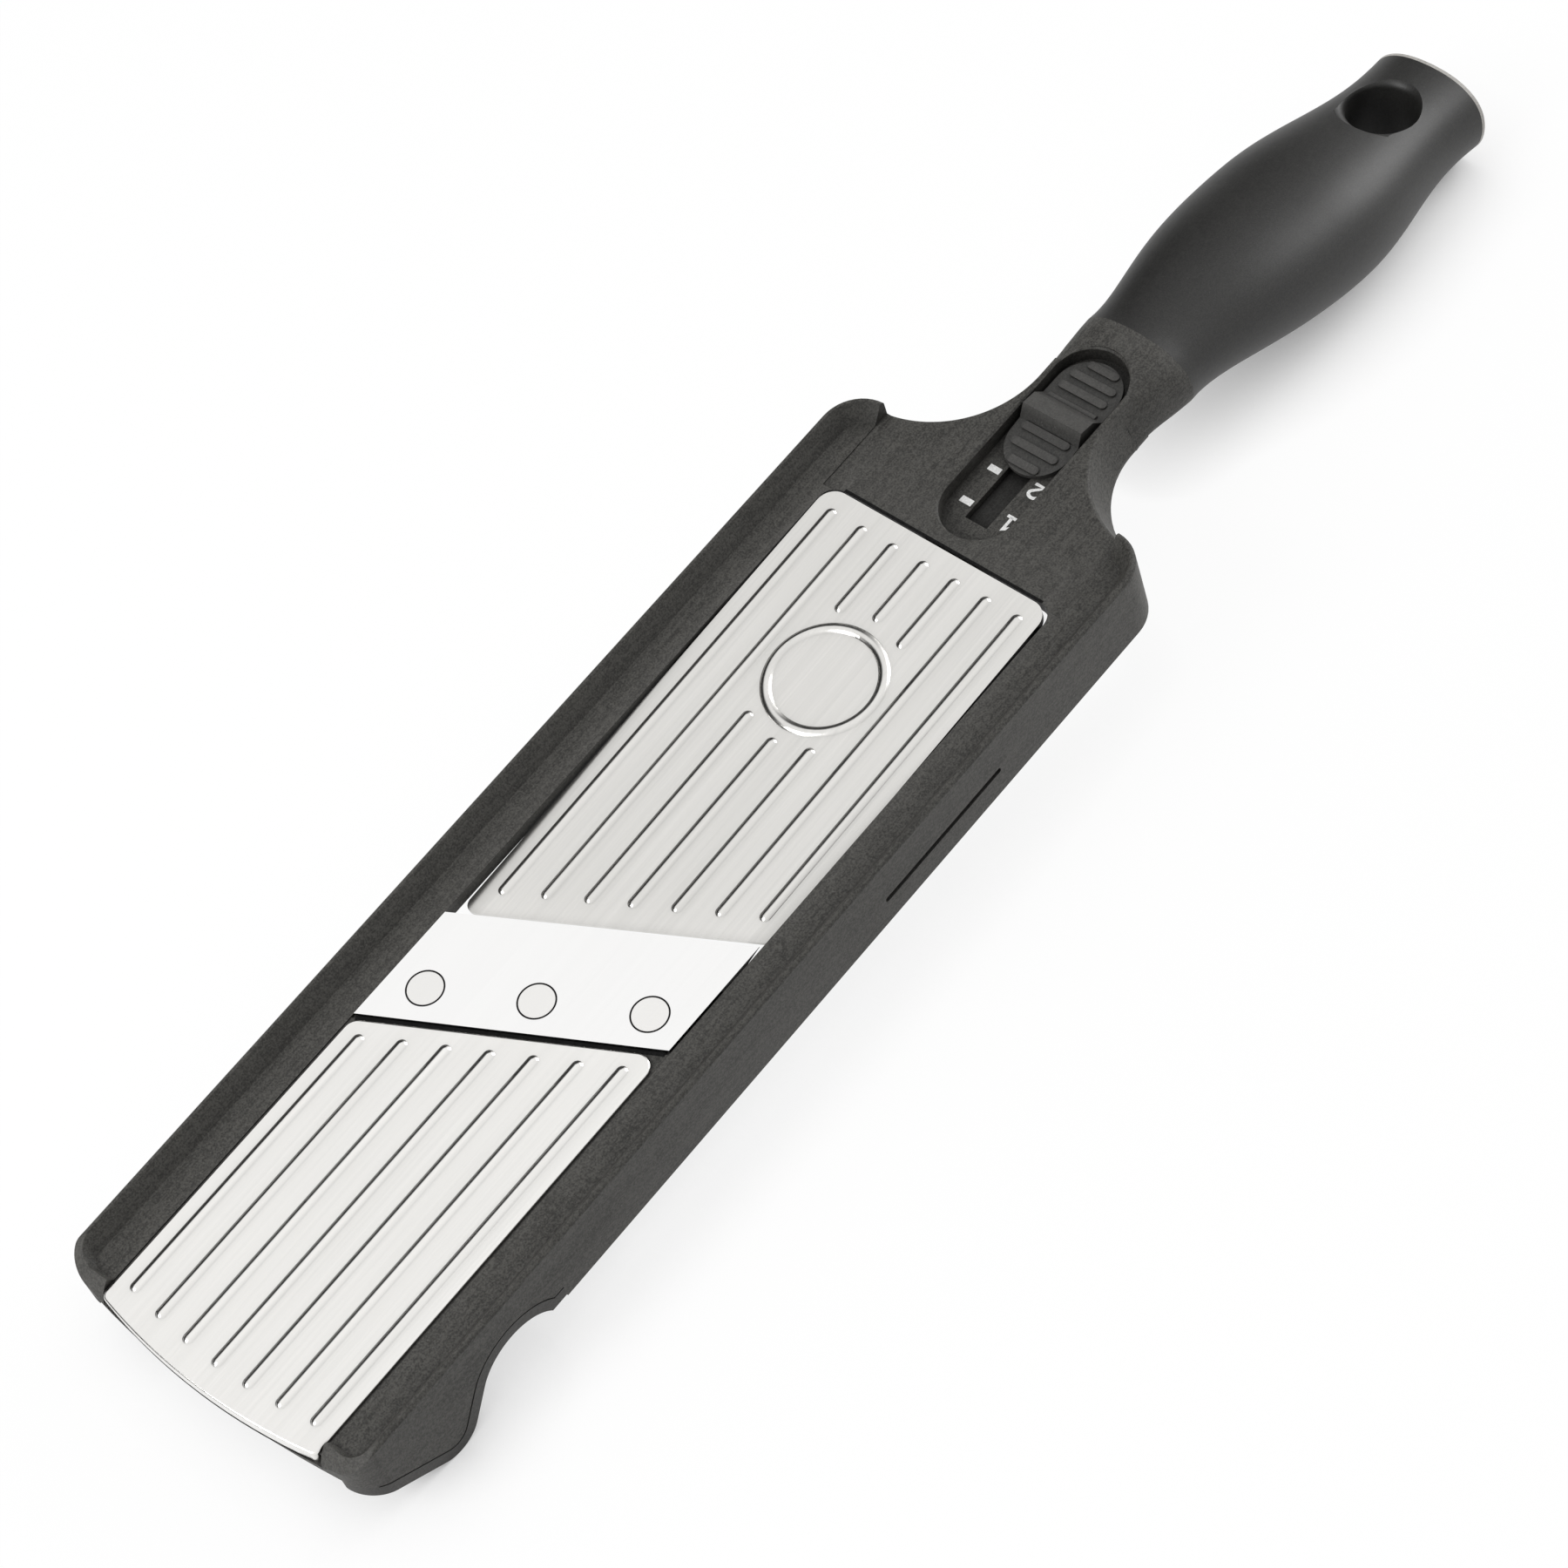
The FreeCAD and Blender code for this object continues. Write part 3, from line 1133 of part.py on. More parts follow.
os.makedirs("parts", exist_ok=True)
PIECES = slicer()
ANGLE = stand_angle(PIECES["foot_pad_left"], PIECES["handle_end_cap"])
STANDING = {name: turned(shape, ANGLE) for name, shape in PIECES.items()}
SHIFT = stand_offset(list(STANDING.values()))
for name, shape in STANDING.items():
    shape.translated(SHIFT).exportStep("parts/" + name + ".step")
print("stands turned", ANGLE, "and moved", SHIFT)
print("rest tilt", math.degrees(REST_TILT), "swing", math.degrees(SWING), "rad per m", SWING / TRAVEL * 1000)
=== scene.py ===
import json
import logging
import math
from dataclasses import dataclass
from enum import Enum
from typing import Dict, List, Sequence, Tuple, Union

import bmesh
import bpy
from mathutils import Matrix, Vector


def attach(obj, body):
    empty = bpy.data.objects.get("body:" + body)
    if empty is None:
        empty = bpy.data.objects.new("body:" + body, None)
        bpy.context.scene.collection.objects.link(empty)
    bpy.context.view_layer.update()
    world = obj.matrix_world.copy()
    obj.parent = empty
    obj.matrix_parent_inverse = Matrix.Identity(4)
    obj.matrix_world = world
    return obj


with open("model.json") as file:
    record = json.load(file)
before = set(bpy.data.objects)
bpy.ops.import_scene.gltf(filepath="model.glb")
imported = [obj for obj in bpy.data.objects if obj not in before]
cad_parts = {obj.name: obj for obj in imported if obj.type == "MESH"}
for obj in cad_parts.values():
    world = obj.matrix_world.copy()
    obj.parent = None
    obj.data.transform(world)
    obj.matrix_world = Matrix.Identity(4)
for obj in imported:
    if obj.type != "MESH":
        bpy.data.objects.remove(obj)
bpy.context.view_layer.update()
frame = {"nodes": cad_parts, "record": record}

MM = 0.001

LOG = logging.getLogger("slicer")

Color = Tuple[float, float, float]
Place = Tuple[float, float, float]
Point = Tuple[float, float]
Span = Tuple[float, float]
Socket = bpy.types.NodeSocket
Value = Union[float, Socket]
Tint = Union[Color, Socket]

UNIT: Span = (0.0, 1.0)
FALLING: Span = (1.0, 0.0)
NOISE_MEAN = 0.5
MITRE_LIMIT = 0.5
WHITE = (1.0, 1.0, 1.0, 1.0)
# Near-black colour of painted shade: mixed into the finishes in gaps and inside corners, and the colour
# of the dark strips laid where shade falls.
PAINTED_SHADE_COLOR: Color = (0.004, 0.004, 0.004)


class Body(Enum):
    """Body of the slicer that the pieces made here ride on."""

    FRAME = "frame_body"


class Slot(Enum):
    """Material slots of the record, handed to make() with the pieces made here, which doesn't read them.
    """

    CAP = "cap_plastic"
    PIN = "pin_steel"
    INNER = "inner_plastic"


class Effect(Enum):
    """Shared surface effects, each one a shader node group."""

    GRAIN = "moulded_grain"
    BRUSHING = "brushed_streaks"
    WEAR = "edge_wear"
    DUST = "handling_film"
    CREVICE = "painted_crevice_shade"


class Sum(Enum):
    """What a math node does with its two values."""

    PLUS = "ADD"
    MINUS = "SUBTRACT"
    TIMES = "MULTIPLY"
    OVER = "DIVIDE"
    MOST = "MAXIMUM"


class Easing(Enum):
    """How a mapped value goes from one end to the other."""

    LINEAR = "LINEAR"
    SMOOTH = "SMOOTHSTEP"


@dataclass(frozen=True)
class Bench:
    """Bench frame of the drawing: x = 0 at the cutting edge, z = 0 on the blade, in millimetres."""

    hinge: Place = (99.5, 0.0, -3.6)

    def matrix(self) -> Matrix:
        """Place of the bench frame in the standing model, from its slide and hinge.

        Returns:
            Matrix from bench metres to the model's frame.
        """
        joints = {joint["name"]: joint for joint in frame["record"]["behaviour"]["joints"]}
        along = -Vector(joints["thickness_slide"]["axis"]).normalized()
        across = Vector((0.0, 1.0, 0.0))
        turn = Matrix((along, across, along.cross(across))).transposed()
        origin = Vector(joints["ramp_hinge"]["pos_m"]) - turn @ (Vector(self.hinge) * MM)
        return Matrix.Translation(origin) @ turn.to_4x4()


BENCH = Bench()


class NodeTree:
    """Short way to add, set and join nodes of one tree."""

    def __init__(self, tree: bpy.types.NodeTree) -> None:
        """Keeps the tree of a material, a world or a node group."""
        self.tree = tree

    def add(self, kind: str, **values: object) -> bpy.types.Node:
        """Adds a node and sets its properties.

        Args:
            kind: Node type, such as ShaderNodeMath.
            values: Properties of the node by name.

        Returns:
            The new node.
        """
        node = self.tree.nodes.new(kind)
        for name, value in values.items():
            setattr(node, name, value)
        return node

    def join(self, source: Value, target: Socket) -> None:
        """Links an output to an input, or sets the input where the source is a number.

        Args:
            source: Output of a node, or a number.
            target: Input of a node.
        """
        if isinstance(source, Socket):
            self.tree.links.new(source, target)
        else:
            target.default_value = source

    def math(self, operation: Sum, first: Value, second: Value) -> Socket:
        """Adds a math node.

        Args:
            operation: What is done with the two values.
            first: Number or socket.
            second: Number or socket.

        Returns:
            The result.
        """
        node = self.add("ShaderNodeMath", operation=operation.value)
        self.join(first, node.inputs[0])
        self.join(second, node.inputs[1])
        return node.outputs[0]

    def weighted(self, values: Sequence[Socket], weights: Sequence[float]) -> Socket:
        """Adds values up, each times its weight.

        Args:
            values: Values to add.
            weights: Weight of each value.

        Returns:
            The sum.
        """
        total, *others = [self.math(Sum.TIMES, value, weight) for value, weight in zip(values, weights)]
        for other in others:
            total = self.math(Sum.PLUS, total, other)
        return total

    def remap(self, value: Socket, span: Span, ends: Span, easing: Easing = Easing.LINEAR) -> Socket:
        """Maps a range to another one and holds the ends beyond it.

        Args:
            value: Value to map.
            span: Where the range starts and ends.
            ends: Result at its start and at its end.
            easing: How the result goes from one to the other.

        Returns:
            The mapped value.
        """
        node = self.add("ShaderNodeMapRange", interpolation_type=easing.value)
        self.join(value, node.inputs["Value"])
        for name, number in zip(("From Min", "From Max", "To Min", "To Max"), span + ends):
            node.inputs[name].default_value = number
        return node.outputs["Result"]

    def stretch(self, vector: Socket, scale: Place) -> Socket:
        """Scales coordinates by axis.

        Args:
            vector: Coordinates.
            scale: Factor of each axis.

        Returns:
            The scaled coordinates.
        """
        node = self.add("ShaderNodeMapping")
        node.inputs["Scale"].default_value = scale
        self.join(vector, node.inputs["Vector"])
        return node.outputs["Vector"]

    def noise(self, vector: Socket, scale: Value, detail: float = 2.0, roughness: float = 0.5) -> Socket:
        """Adds a noise texture.

        Args:
            vector: Coordinates.
            scale: Number or socket.
            detail: Octaves.
            roughness: Weight of the finer octaves.

        Returns:
            The noise value.
        """
        node = self.add("ShaderNodeTexNoise")
        self.join(vector, node.inputs["Vector"])
        self.join(scale, node.inputs["Scale"])
        node.inputs["Detail"].default_value = detail
        node.inputs["Roughness"].default_value = roughness
        return node.outputs["Fac"]

    def mix(self, factor: Socket, first: Tint, second: Tint) -> Socket:
        """Mixes two colours.

        Args:
            factor: Share of the second colour.
            first: Colour or socket.
            second: Colour or socket.

        Returns:
            The mixed colour.
        """
        node = self.add("ShaderNodeMix", data_type="RGBA")
        self.join(factor, node.inputs["Factor"])
        for name, tint in (("A", first), ("B", second)):
            target = next(s for s in node.inputs if s.name == name and s.type == "RGBA")
            if isinstance(tint, Socket):
                self.join(tint, target)
            else:
                target.default_value = (*tint, 1.0)
        return next(s for s in node.outputs if s.type == "RGBA")

    def bump(self, height: Socket, strength: float, depth: float) -> Socket:
        """Turns a height into a normal.

        Args:
            height: Height from 0 to 1.
            strength: How much of the bump shows.
            depth: Depth of the relief in metres.

        Returns:
            The bumped normal.
        """
        node = self.add("ShaderNodeBump")
        node.inputs["Strength"].default_value = strength
        node.inputs["Distance"].default_value = depth
        self.join(height, node.inputs["Height"])
        return node.outputs["Normal"]


class GroupTree(NodeTree):
    """Tree of a shader node group with named sockets for numbers."""

    def __init__(self, effect: Effect, inputs: Dict[str, float], outputs: Sequence[str]) -> None:
        """Starts the group and puts its end nodes in place.

        Args:
            effect: Effect that the group makes.
            inputs: Input names with their defaults.
            outputs: Output names.
        """
        super().__init__(bpy.data.node_groups.new(effect.value, "ShaderNodeTree"))
        sockets = self.tree.interface
        for name, value in inputs.items():
            socket = sockets.new_socket(name, in_out="INPUT", socket_type="NodeSocketFloat")
            socket.default_value = value
        for name in outputs:
            sockets.new_socket(name, in_out="OUTPUT", socket_type="NodeSocketFloat")
        self.start = self.add("NodeGroupInput")
        self.end = self.add("NodeGroupOutput")

    def place(self) -> Socket:
        """Coordinates on the piece, in metres."""
        return self.add("ShaderNodeTexCoord").outputs["Object"]


@dataclass(frozen=True)
class Grain:
    """Fine spark-eroded grain of moulded plastic, with faint flow marks and pale specks.

    Scales and stretches count steps of the noise per metre, from fine to broad.
    """

    scales: Tuple[float, float, float] = (2600.0, 1000.0, 260.0)
    height_weights: Tuple[float, float] = (0.6, 0.4)
    shade_weights: Tuple[float, float, float] = (0.65, 0.25, 0.1)
    shade_span: Span = (0.39, 0.61)
    flow_stretch: Place = (90.0, 1500.0, 1500.0)
    flow_detail: float = 3.0
    flow_roughness: float = 0.6
    speck_scale: float = 1700.0
    speck_detail: float = 1.0
    speck_span: Span = (0.7, 0.8)

    def build(self) -> bpy.types.NodeTree:
        """Makes the group.

        Returns:
            The group.
        """
        group = GroupTree(Effect.GRAIN, {"Scale": 1.0, "Flow": 0.3}, ("Height", "Shade", "Specks"))
        place = group.place()
        scale = group.start.outputs["Scale"]
        layers = [group.noise(place, group.math(Sum.TIMES, scale, layer)) for layer in self.scales]
        group.join(group.weighted(layers, self.height_weights), group.end.inputs["Height"])
        long = group.stretch(place, self.flow_stretch)
        flow = group.noise(long, 1.0, self.flow_detail, self.flow_roughness)
        marks = group.math(Sum.MINUS, flow, NOISE_MEAN)
        marks = group.math(Sum.TIMES, marks, group.start.outputs["Flow"])
        shade = group.math(Sum.PLUS, group.weighted(layers, self.shade_weights), marks)
        group.join(group.remap(shade, self.shade_span, UNIT), group.end.inputs["Shade"])
        specks = group.noise(place, self.speck_scale, self.speck_detail)
        group.join(group.remap(specks, self.speck_span, UNIT), group.end.inputs["Specks"])
        return group.tree


@dataclass(frozen=True)
class Brushing:
    """Long fine scratches that run along the slicer."""

    fine_stretch: Place = (14.0, 1300.0, 14.0)
    fine_detail: float = 3.0
    fine_roughness: float = 0.65
    coarse_stretch: Place = (9.0, 300.0, 9.0)
    weights: Tuple[float, float] = (0.55, 0.45)

    def build(self) -> bpy.types.NodeTree:
        """Makes the group.

        Returns:
            The group.
        """
        group = GroupTree(Effect.BRUSHING, {"Fineness": 1.0}, ("Streaks", "Height"))
        place = group.place()
        fineness = group.start.outputs["Fineness"]
        narrow = group.stretch(place, self.fine_stretch)
        fine = group.noise(narrow, fineness, self.fine_detail, self.fine_roughness)
        coarse = group.noise(group.stretch(place, self.coarse_stretch), fineness)
        group.join(group.weighted((fine, coarse), self.weights), group.end.inputs["Streaks"])
        group.join(fine, group.end.inputs["Height"])
        return group.tree


@dataclass(frozen=True)
class Wear:
    """Mask of worn outer edges, broken up by noise."""

    start: float = 0.53
    width: float = 0.06
    patch_scale: float = 240.0
    patch_detail: float = 3.0
    patch_levels: Span = (0.35, 1.0)

    def build(self) -> bpy.types.NodeTree:
        """Makes the group.

        Returns:
            The group.
        """
        group = GroupTree(Effect.WEAR, {"Start": self.start, "Width": self.width}, ("Mask",))
        inputs = group.start.outputs
        sharp = group.add("ShaderNodeNewGeometry").outputs["Pointiness"]
        edge = group.math(Sum.OVER, group.math(Sum.MINUS, sharp, inputs["Start"]), inputs["Width"])
        clamp = group.add("ShaderNodeClamp")
        group.join(edge, clamp.inputs["Value"])
        noise = group.noise(group.place(), self.patch_scale, self.patch_detail)
        patchy = group.remap(noise, UNIT, self.patch_levels)
        group.join(group.math(Sum.TIMES, clamp.outputs["Result"], patchy), group.end.inputs["Mask"])
        return group.tree


@dataclass(frozen=True)
class Dust:
    """Broad uneven film from handling."""

    scale: float = 38.0
    detail: float = 4.0
    roughness: float = 0.55

    def build(self) -> bpy.types.NodeTree:
        """Makes the group.

        Returns:
            The group.
        """
        group = GroupTree(Effect.DUST, {"Scale": 1.0}, ("Film",))
        scale = group.math(Sum.TIMES, group.start.outputs["Scale"], self.scale)
        film = group.noise(group.place(), scale, self.detail, self.roughness)
        group.join(film, group.end.inputs["Film"])
        return group.tree


@dataclass(frozen=True)
class Crevice:
    """How open the surface is: 1 in the open, lower in gaps, slots and inside corners; the finishes paint
    shade into their colour by it.
    """

    samples: int = 4

    def build(self) -> bpy.types.NodeTree:
        """Makes the group.

        Returns:
            The group.
        """
        group = GroupTree(Effect.CREVICE, {"Reach": 5.0 * MM, "Depth": 0.8}, ("Open",))
        inputs = group.start.outputs
        cover = group.add("ShaderNodeAmbientOcclusion", samples=self.samples)
        group.join(inputs["Reach"], cover.inputs["Distance"])
        shut = group.math(Sum.TIMES, group.math(Sum.MINUS, 1.0, cover.outputs["AO"]), inputs["Depth"])
        group.join(group.math(Sum.MINUS, 1.0, shut), group.end.inputs["Open"])
        return group.tree


class EffectLibrary:
    """Builds each shared effect once and places it in materials."""

    def __init__(self) -> None:
        """Makes the five groups."""
        self.groups: Dict[Effect, bpy.types.NodeTree] = {
            Effect.GRAIN: Grain().build(),
            Effect.BRUSHING: Brushing().build(),
            Effect.WEAR: Wear().build(),
            Effect.DUST: Dust().build(),
            Effect.CREVICE: Crevice().build(),
        }

    def place(self, nodes: NodeTree, effect: Effect, **values: float) -> bpy.types.Node:
        """Puts a group into a material.

        Args:
            nodes: Tree of the material.
            effect: Effect wanted.
            values: Values of the group's inputs by name.

        Returns:
            The group node.
        """
        node = nodes.add("ShaderNodeGroup", node_tree=self.groups[effect])
        for name, value in values.items():
            node.inputs[name].default_value = value
        return node


def empty_material(name: str) -> Tuple[bpy.types.Material, NodeTree]:
    """Starts a node material with no nodes in it.

    Args:
        name: Name of the material.

    Returns:
        The material and its tree.
    """
    material = bpy.data.materials.new(name)
    material.use_nodes = True
    material.node_tree.nodes.clear()
    return material, NodeTree(material.node_tree)


def new_material(name: str) -> Tuple[bpy.types.Material, NodeTree, bpy.types.Node]:
    """Starts a node material with one Principled BSDF.

    Args:
        name: Name of the material.

    Returns:
        The material, its tree and its shader node.
    """
    material, nodes = empty_material(name)
    shader = nodes.add("ShaderNodeBsdfPrincipled")
    output = nodes.add("ShaderNodeOutputMaterial")
    nodes.join(shader.outputs["BSDF"], output.inputs["Surface"])
    return material, nodes, shader


@dataclass(frozen=True)
class PlasticFinish:
    """Moulded plastic or rubber: base colours, gloss, grain, wear and painted shade in gaps and inside
    corners.
    """

    name: str
    dark: Color
    light: Color
    roughness: Span
    grain: float
    grain_scale: float = 1.0
    grain_depth: float = 0.1 * MM
    flow: float = 0.3
    wear: float = 0.25
    worn: Color = (0.16, 0.155, 0.148)
    specks: float = 0.35
    # How far painted shade reaches into gaps and inside corners, and how dark it gets.
    crevice_reach: float = 5.0 * MM
    crevice_depth: float = 0.8
    specular: float = 0.5

    def build(self, effects: EffectLibrary) -> bpy.types.Material:
        """Makes the material.

        Args:
            effects: Shared node groups.

        Returns:
            The material.
        """
        material, nodes, shader = new_material(self.name)
        grain = effects.place(nodes, Effect.GRAIN, Scale=self.grain_scale, Flow=self.flow)
        wear = effects.place(nodes, Effect.WEAR)
        film = effects.place(nodes, Effect.DUST)
        crevice = effects.place(nodes, Effect.CREVICE, Reach=self.crevice_reach, Depth=self.crevice_depth)
        specks = nodes.math(Sum.TIMES, grain.outputs["Specks"], self.specks)
        worn = nodes.math(Sum.TIMES, wear.outputs["Mask"], self.wear)
        color = nodes.mix(grain.outputs["Shade"], self.dark, self.light)
        color = nodes.mix(specks, color, self.worn)
        color = nodes.mix(worn, color, self.worn)
        # Paints shade into the colour in gaps and inside corners.
        color = nodes.mix(crevice.outputs["Open"], PAINTED_SHADE_COLOR, color)
        nodes.join(color, shader.inputs["Base Color"])
        nodes.join(nodes.remap(film.outputs["Film"], UNIT, self.roughness), shader.inputs["Roughness"])
        normal = nodes.bump(grain.outputs["Height"], self.grain, self.grain_depth)
        nodes.join(normal, shader.inputs["Normal"])
        shader.inputs["Specular IOR Level"].default_value = self.specular
        return material


@dataclass(frozen=True)
class SteelFinish:
    """Steel: base colours, gloss, how strongly it is brushed and painted shade in gaps and inside
    corners.
    """

    name: str
    dark: Color
    light: Color
    roughness: Span
    brushing: float
    brushing_depth: float = 0.02 * MM
    fineness: float = 1.0
    film: float = 0.03
    # How far painted shade reaches into gaps and inside corners, and how dark it gets.
    crevice_reach: float = 2.0 * MM
    crevice_depth: float = 1.0

    def build(self, effects: EffectLibrary) -> bpy.types.Material:
        """Makes the material.

        Args:
            effects: Shared node groups.

        Returns:
            The material.
        """
        material, nodes, shader = new_material(self.name)
        brush = effects.place(nodes, Effect.BRUSHING, Fineness=self.fineness)
        film = effects.place(nodes, Effect.DUST)
        crevice = effects.place(nodes, Effect.CREVICE, Reach=self.crevice_reach, Depth=self.crevice_depth)
        color = nodes.mix(brush.outputs["Streaks"], self.dark, self.light)
        # Paints shade into the colour in gaps and inside corners.
        color = nodes.mix(crevice.outputs["Open"], PAINTED_SHADE_COLOR, color)
        nodes.join(color, shader.inputs["Base Color"])
        haze = nodes.remap(film.outputs["Film"], UNIT, (-self.film, self.film))
        gloss = nodes.remap(brush.outputs["Streaks"], UNIT, self.roughness)
        nodes.join(nodes.math(Sum.PLUS, gloss, haze), shader.inputs["Roughness"])
        normal = nodes.bump(brush.outputs["Height"], self.brushing, self.brushing_depth)
        nodes.join(normal, shader.inputs["Normal"])
        shader.inputs["Metallic"].default_value = 1.0
        return material


@dataclass(frozen=True)
class PaintFinish:
    """Printed setting marks: white ink with thin spots."""

    name: str
    ink: Color
    thin: Color
    roughness: Span = (0.45, 0.65)
    grain_scale: float = 1.4
    flow: float = 0.0

    def build(self, effects: EffectLibrary) -> bpy.types.Material:
        """Makes the material.

        Args:
            effects: Shared node groups.

        Returns:
            The material.
        """
        material, nodes, shader = new_material(self.name)
        grain = effects.place(nodes, Effect.GRAIN, Scale=self.grain_scale, Flow=self.flow)
        nodes.join(nodes.mix(grain.outputs["Shade"], self.ink, self.thin), shader.inputs["Base Color"])
        nodes.join(nodes.remap(grain.outputs["Height"], UNIT, self.roughness), shader.inputs["Roughness"])
        return material


Finish = Union[PlasticFinish, SteelFinish, PaintFinish]

FRAME_FINISH = PlasticFinish(
    "charcoal_moulding", dark=(0.0285, 0.0276, 0.0251), light=(0.0785, 0.076, 0.0694),
    roughness=(0.5, 0.62), grain=0.4, specular=0.28)
SLIDER_FINISH = PlasticFinish(
    "slider_moulding", dark=(0.024, 0.0233, 0.0214), light=(0.047, 0.0456, 0.0421),
    roughness=(0.45, 0.58), grain=0.3, crevice_reach=3.0 * MM)
# Darker copy of the moulding with a long reach of painted shade: the shade in the slot and gaps is
# painted into the hidden parts' colour.
SHADED_INNER_FINISH = PlasticFinish(
    "hidden_moulding_painted_shade", dark=(0.013, 0.0128, 0.0122), light=(0.03, 0.0295, 0.028),
    roughness=(0.5, 0.62), grain=0.2, wear=0.1, specks=0.1, crevice_reach=9.0 * MM, specular=0.12)
CAP_FINISH = PlasticFinish(
    "cap_moulding", dark=(0.36, 0.345, 0.325), light=(0.46, 0.445, 0.42),
    roughness=(0.35, 0.45), grain=0.12, wear=0.0, specks=0.0)
GRIP_FINISH = PlasticFinish(
    "soft_touch_grip", dark=(0.008, 0.0078, 0.0072), light=(0.019, 0.0185, 0.0171),
    roughness=(0.43, 0.51), grain=0.16, grain_scale=1.3, flow=0.1, wear=0.0, specks=0.08)
FOOT_FINISH = PlasticFinish(
    "soft_feet", dark=(0.036, 0.035, 0.033), light=(0.06, 0.058, 0.055),
    roughness=(0.62, 0.75), grain=0.3, flow=0.1, wear=0.1)
# Near-black finish of the dark strips that paint shade into gaps and recesses.
PAINTED_SHADE_FINISH = PlasticFinish(
    "painted_gap_shade", dark=PAINTED_SHADE_COLOR, light=(0.012, 0.012, 0.012),
    roughness=(0.6, 0.7), grain=0.05, wear=0.0, specks=0.0, specular=0.1)
PLATE_FINISH = SteelFinish(
    "brushed_plate", dark=(0.76, 0.75, 0.727), light=(1.0, 0.988, 0.962),
    roughness=(0.15, 0.27), brushing=0.25, crevice_reach=5.0 * MM)
# Same brushed steel as the plate, with darker base colours: the ramp's dimmer look is painted shade.
SHADED_RAMP_FINISH = SteelFinish(
    "brushed_ramp_painted_shade", dark=(0.62, 0.611, 0.589), light=(0.91, 0.897, 0.869),
    roughness=(0.17, 0.29), brushing=0.28, crevice_reach=5.0 * MM)
BLADE_FINISH = SteelFinish(
    "polished_blade", dark=(0.9, 0.896, 0.89), light=(0.96, 0.956, 0.95),
    roughness=(0.06, 0.1), brushing=0.04)
PIN_FINISH = SteelFinish(
    "drawn_pins", dark=(0.66, 0.655, 0.645), light=(0.86, 0.855, 0.845),
    roughness=(0.16, 0.26), brushing=0.12, crevice_reach=8.0 * MM)
RIVET_FINISH = SteelFinish(
    "turned_rivets", dark=(0.84, 0.83, 0.812), light=(0.98, 0.968, 0.946),
    roughness=(0.16, 0.3), brushing=0.08, fineness=1.8)
SPRING_FINISH = SteelFinish(
    "rolled_spring", dark=(0.42, 0.42, 0.43), light=(0.6, 0.6, 0.6),
    roughness=(0.25, 0.35), brushing=0.1)
MARK_FINISH = PaintFinish("setting_ink", ink=(0.86, 0.86, 0.85), thin=(0.68, 0.68, 0.67))


def ribbon(shape: bmesh.types.BMesh, path: Sequence[Point], width: float, z: float, thick: float) -> None:
    """Adds a flat stroke of even width along a path.

    Args:
        shape: Mesh that gets the stroke.
        path: Points (x, y) of the middle line.
        width: Width of the stroke.
        z: Height of its underside.
        thick: Thickness of the stroke.
    """
    points = [Vector(point) for point in path]
    runs = [(end - start).normalized() for start, end in zip(points, points[1:])]
    rings = []
    for point, before, after in zip(points, runs[:1] + runs, runs + runs[-1:]):
        run = (before + after).normalized()
        normal = Vector((-run.y, run.x))
        slant = normal.dot(Vector((-after.y, after.x)))
        reach = normal * (width / 2 / max(slant, MITRE_LIMIT))
        left, right = point + reach, point - reach
        corners = ((left, z), (right, z), (right, z + thick), (left, z + thick))
        rings.append([shape.verts.new((side.x, side.y, level)) for side, level in corners])
    for first, second in zip(rings, rings[1:]):
        for face in zip(first, first[1:] + first[:1], second[1:] + second[:1], second):
            shape.faces.new(face)
    shape.faces.new(rings[0])
    shape.faces.new(rings[-1])


class Workshop:
    """Makes pieces and dresses nodes, with each finish built once as a material."""

    def __init__(self) -> None:
        """Builds the effects and starts with no material."""
        self.effects = EffectLibrary()
        self.made: Dict[str, bpy.types.Material] = {}

    def material(self, finish: Finish) -> bpy.types.Material:
        """Finds or makes the material of a finish.

        Args:
            finish: Finish wanted.

        Returns:
            The material.
        """
        if finish.name not in self.made:
            self.made[finish.name] = finish.build(self.effects)
        return self.made[finish.name]

    def dress(self, finishes: Dict[str, Finish]) -> None:
        """Puts finishes on carried-over nodes.

        Args:
            finishes: Finish of each node by name.
        """
        for name, finish in finishes.items():
            for holder in frame["nodes"][name].material_slots:
                holder.material = self.material(finish)
            LOG.info("dressed %s in %s", name, finish.name)

    def make(self, name: str, slot: Slot, finish: Finish, shape: bmesh.types.BMesh) -> None:
        """Turns a mesh in bench millimetres into a piece that rides on the frame.

        Args:
            name: Name of the piece.
            slot: Not used.
            finish: Finish of the piece.
            shape: Mesh in bench millimetres; it is freed.
        """
        bmesh.ops.scale(shape, vec=(MM, MM, MM), verts=shape.verts)
        bmesh.ops.transform(shape, matrix=BENCH.matrix(), verts=shape.verts)
        bmesh.ops.recalc_face_normals(shape, faces=shape.faces)
        mesh = bpy.data.meshes.new(name)
        shape.to_mesh(mesh)
        shape.free()
        mesh.materials.append(self.material(finish))
        piece = bpy.data.objects.new(name, mesh)
        bpy.context.scene.collection.objects.link(piece)
        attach(piece, Body.FRAME.value)
        LOG.info("made %s in %s", name, finish.name)


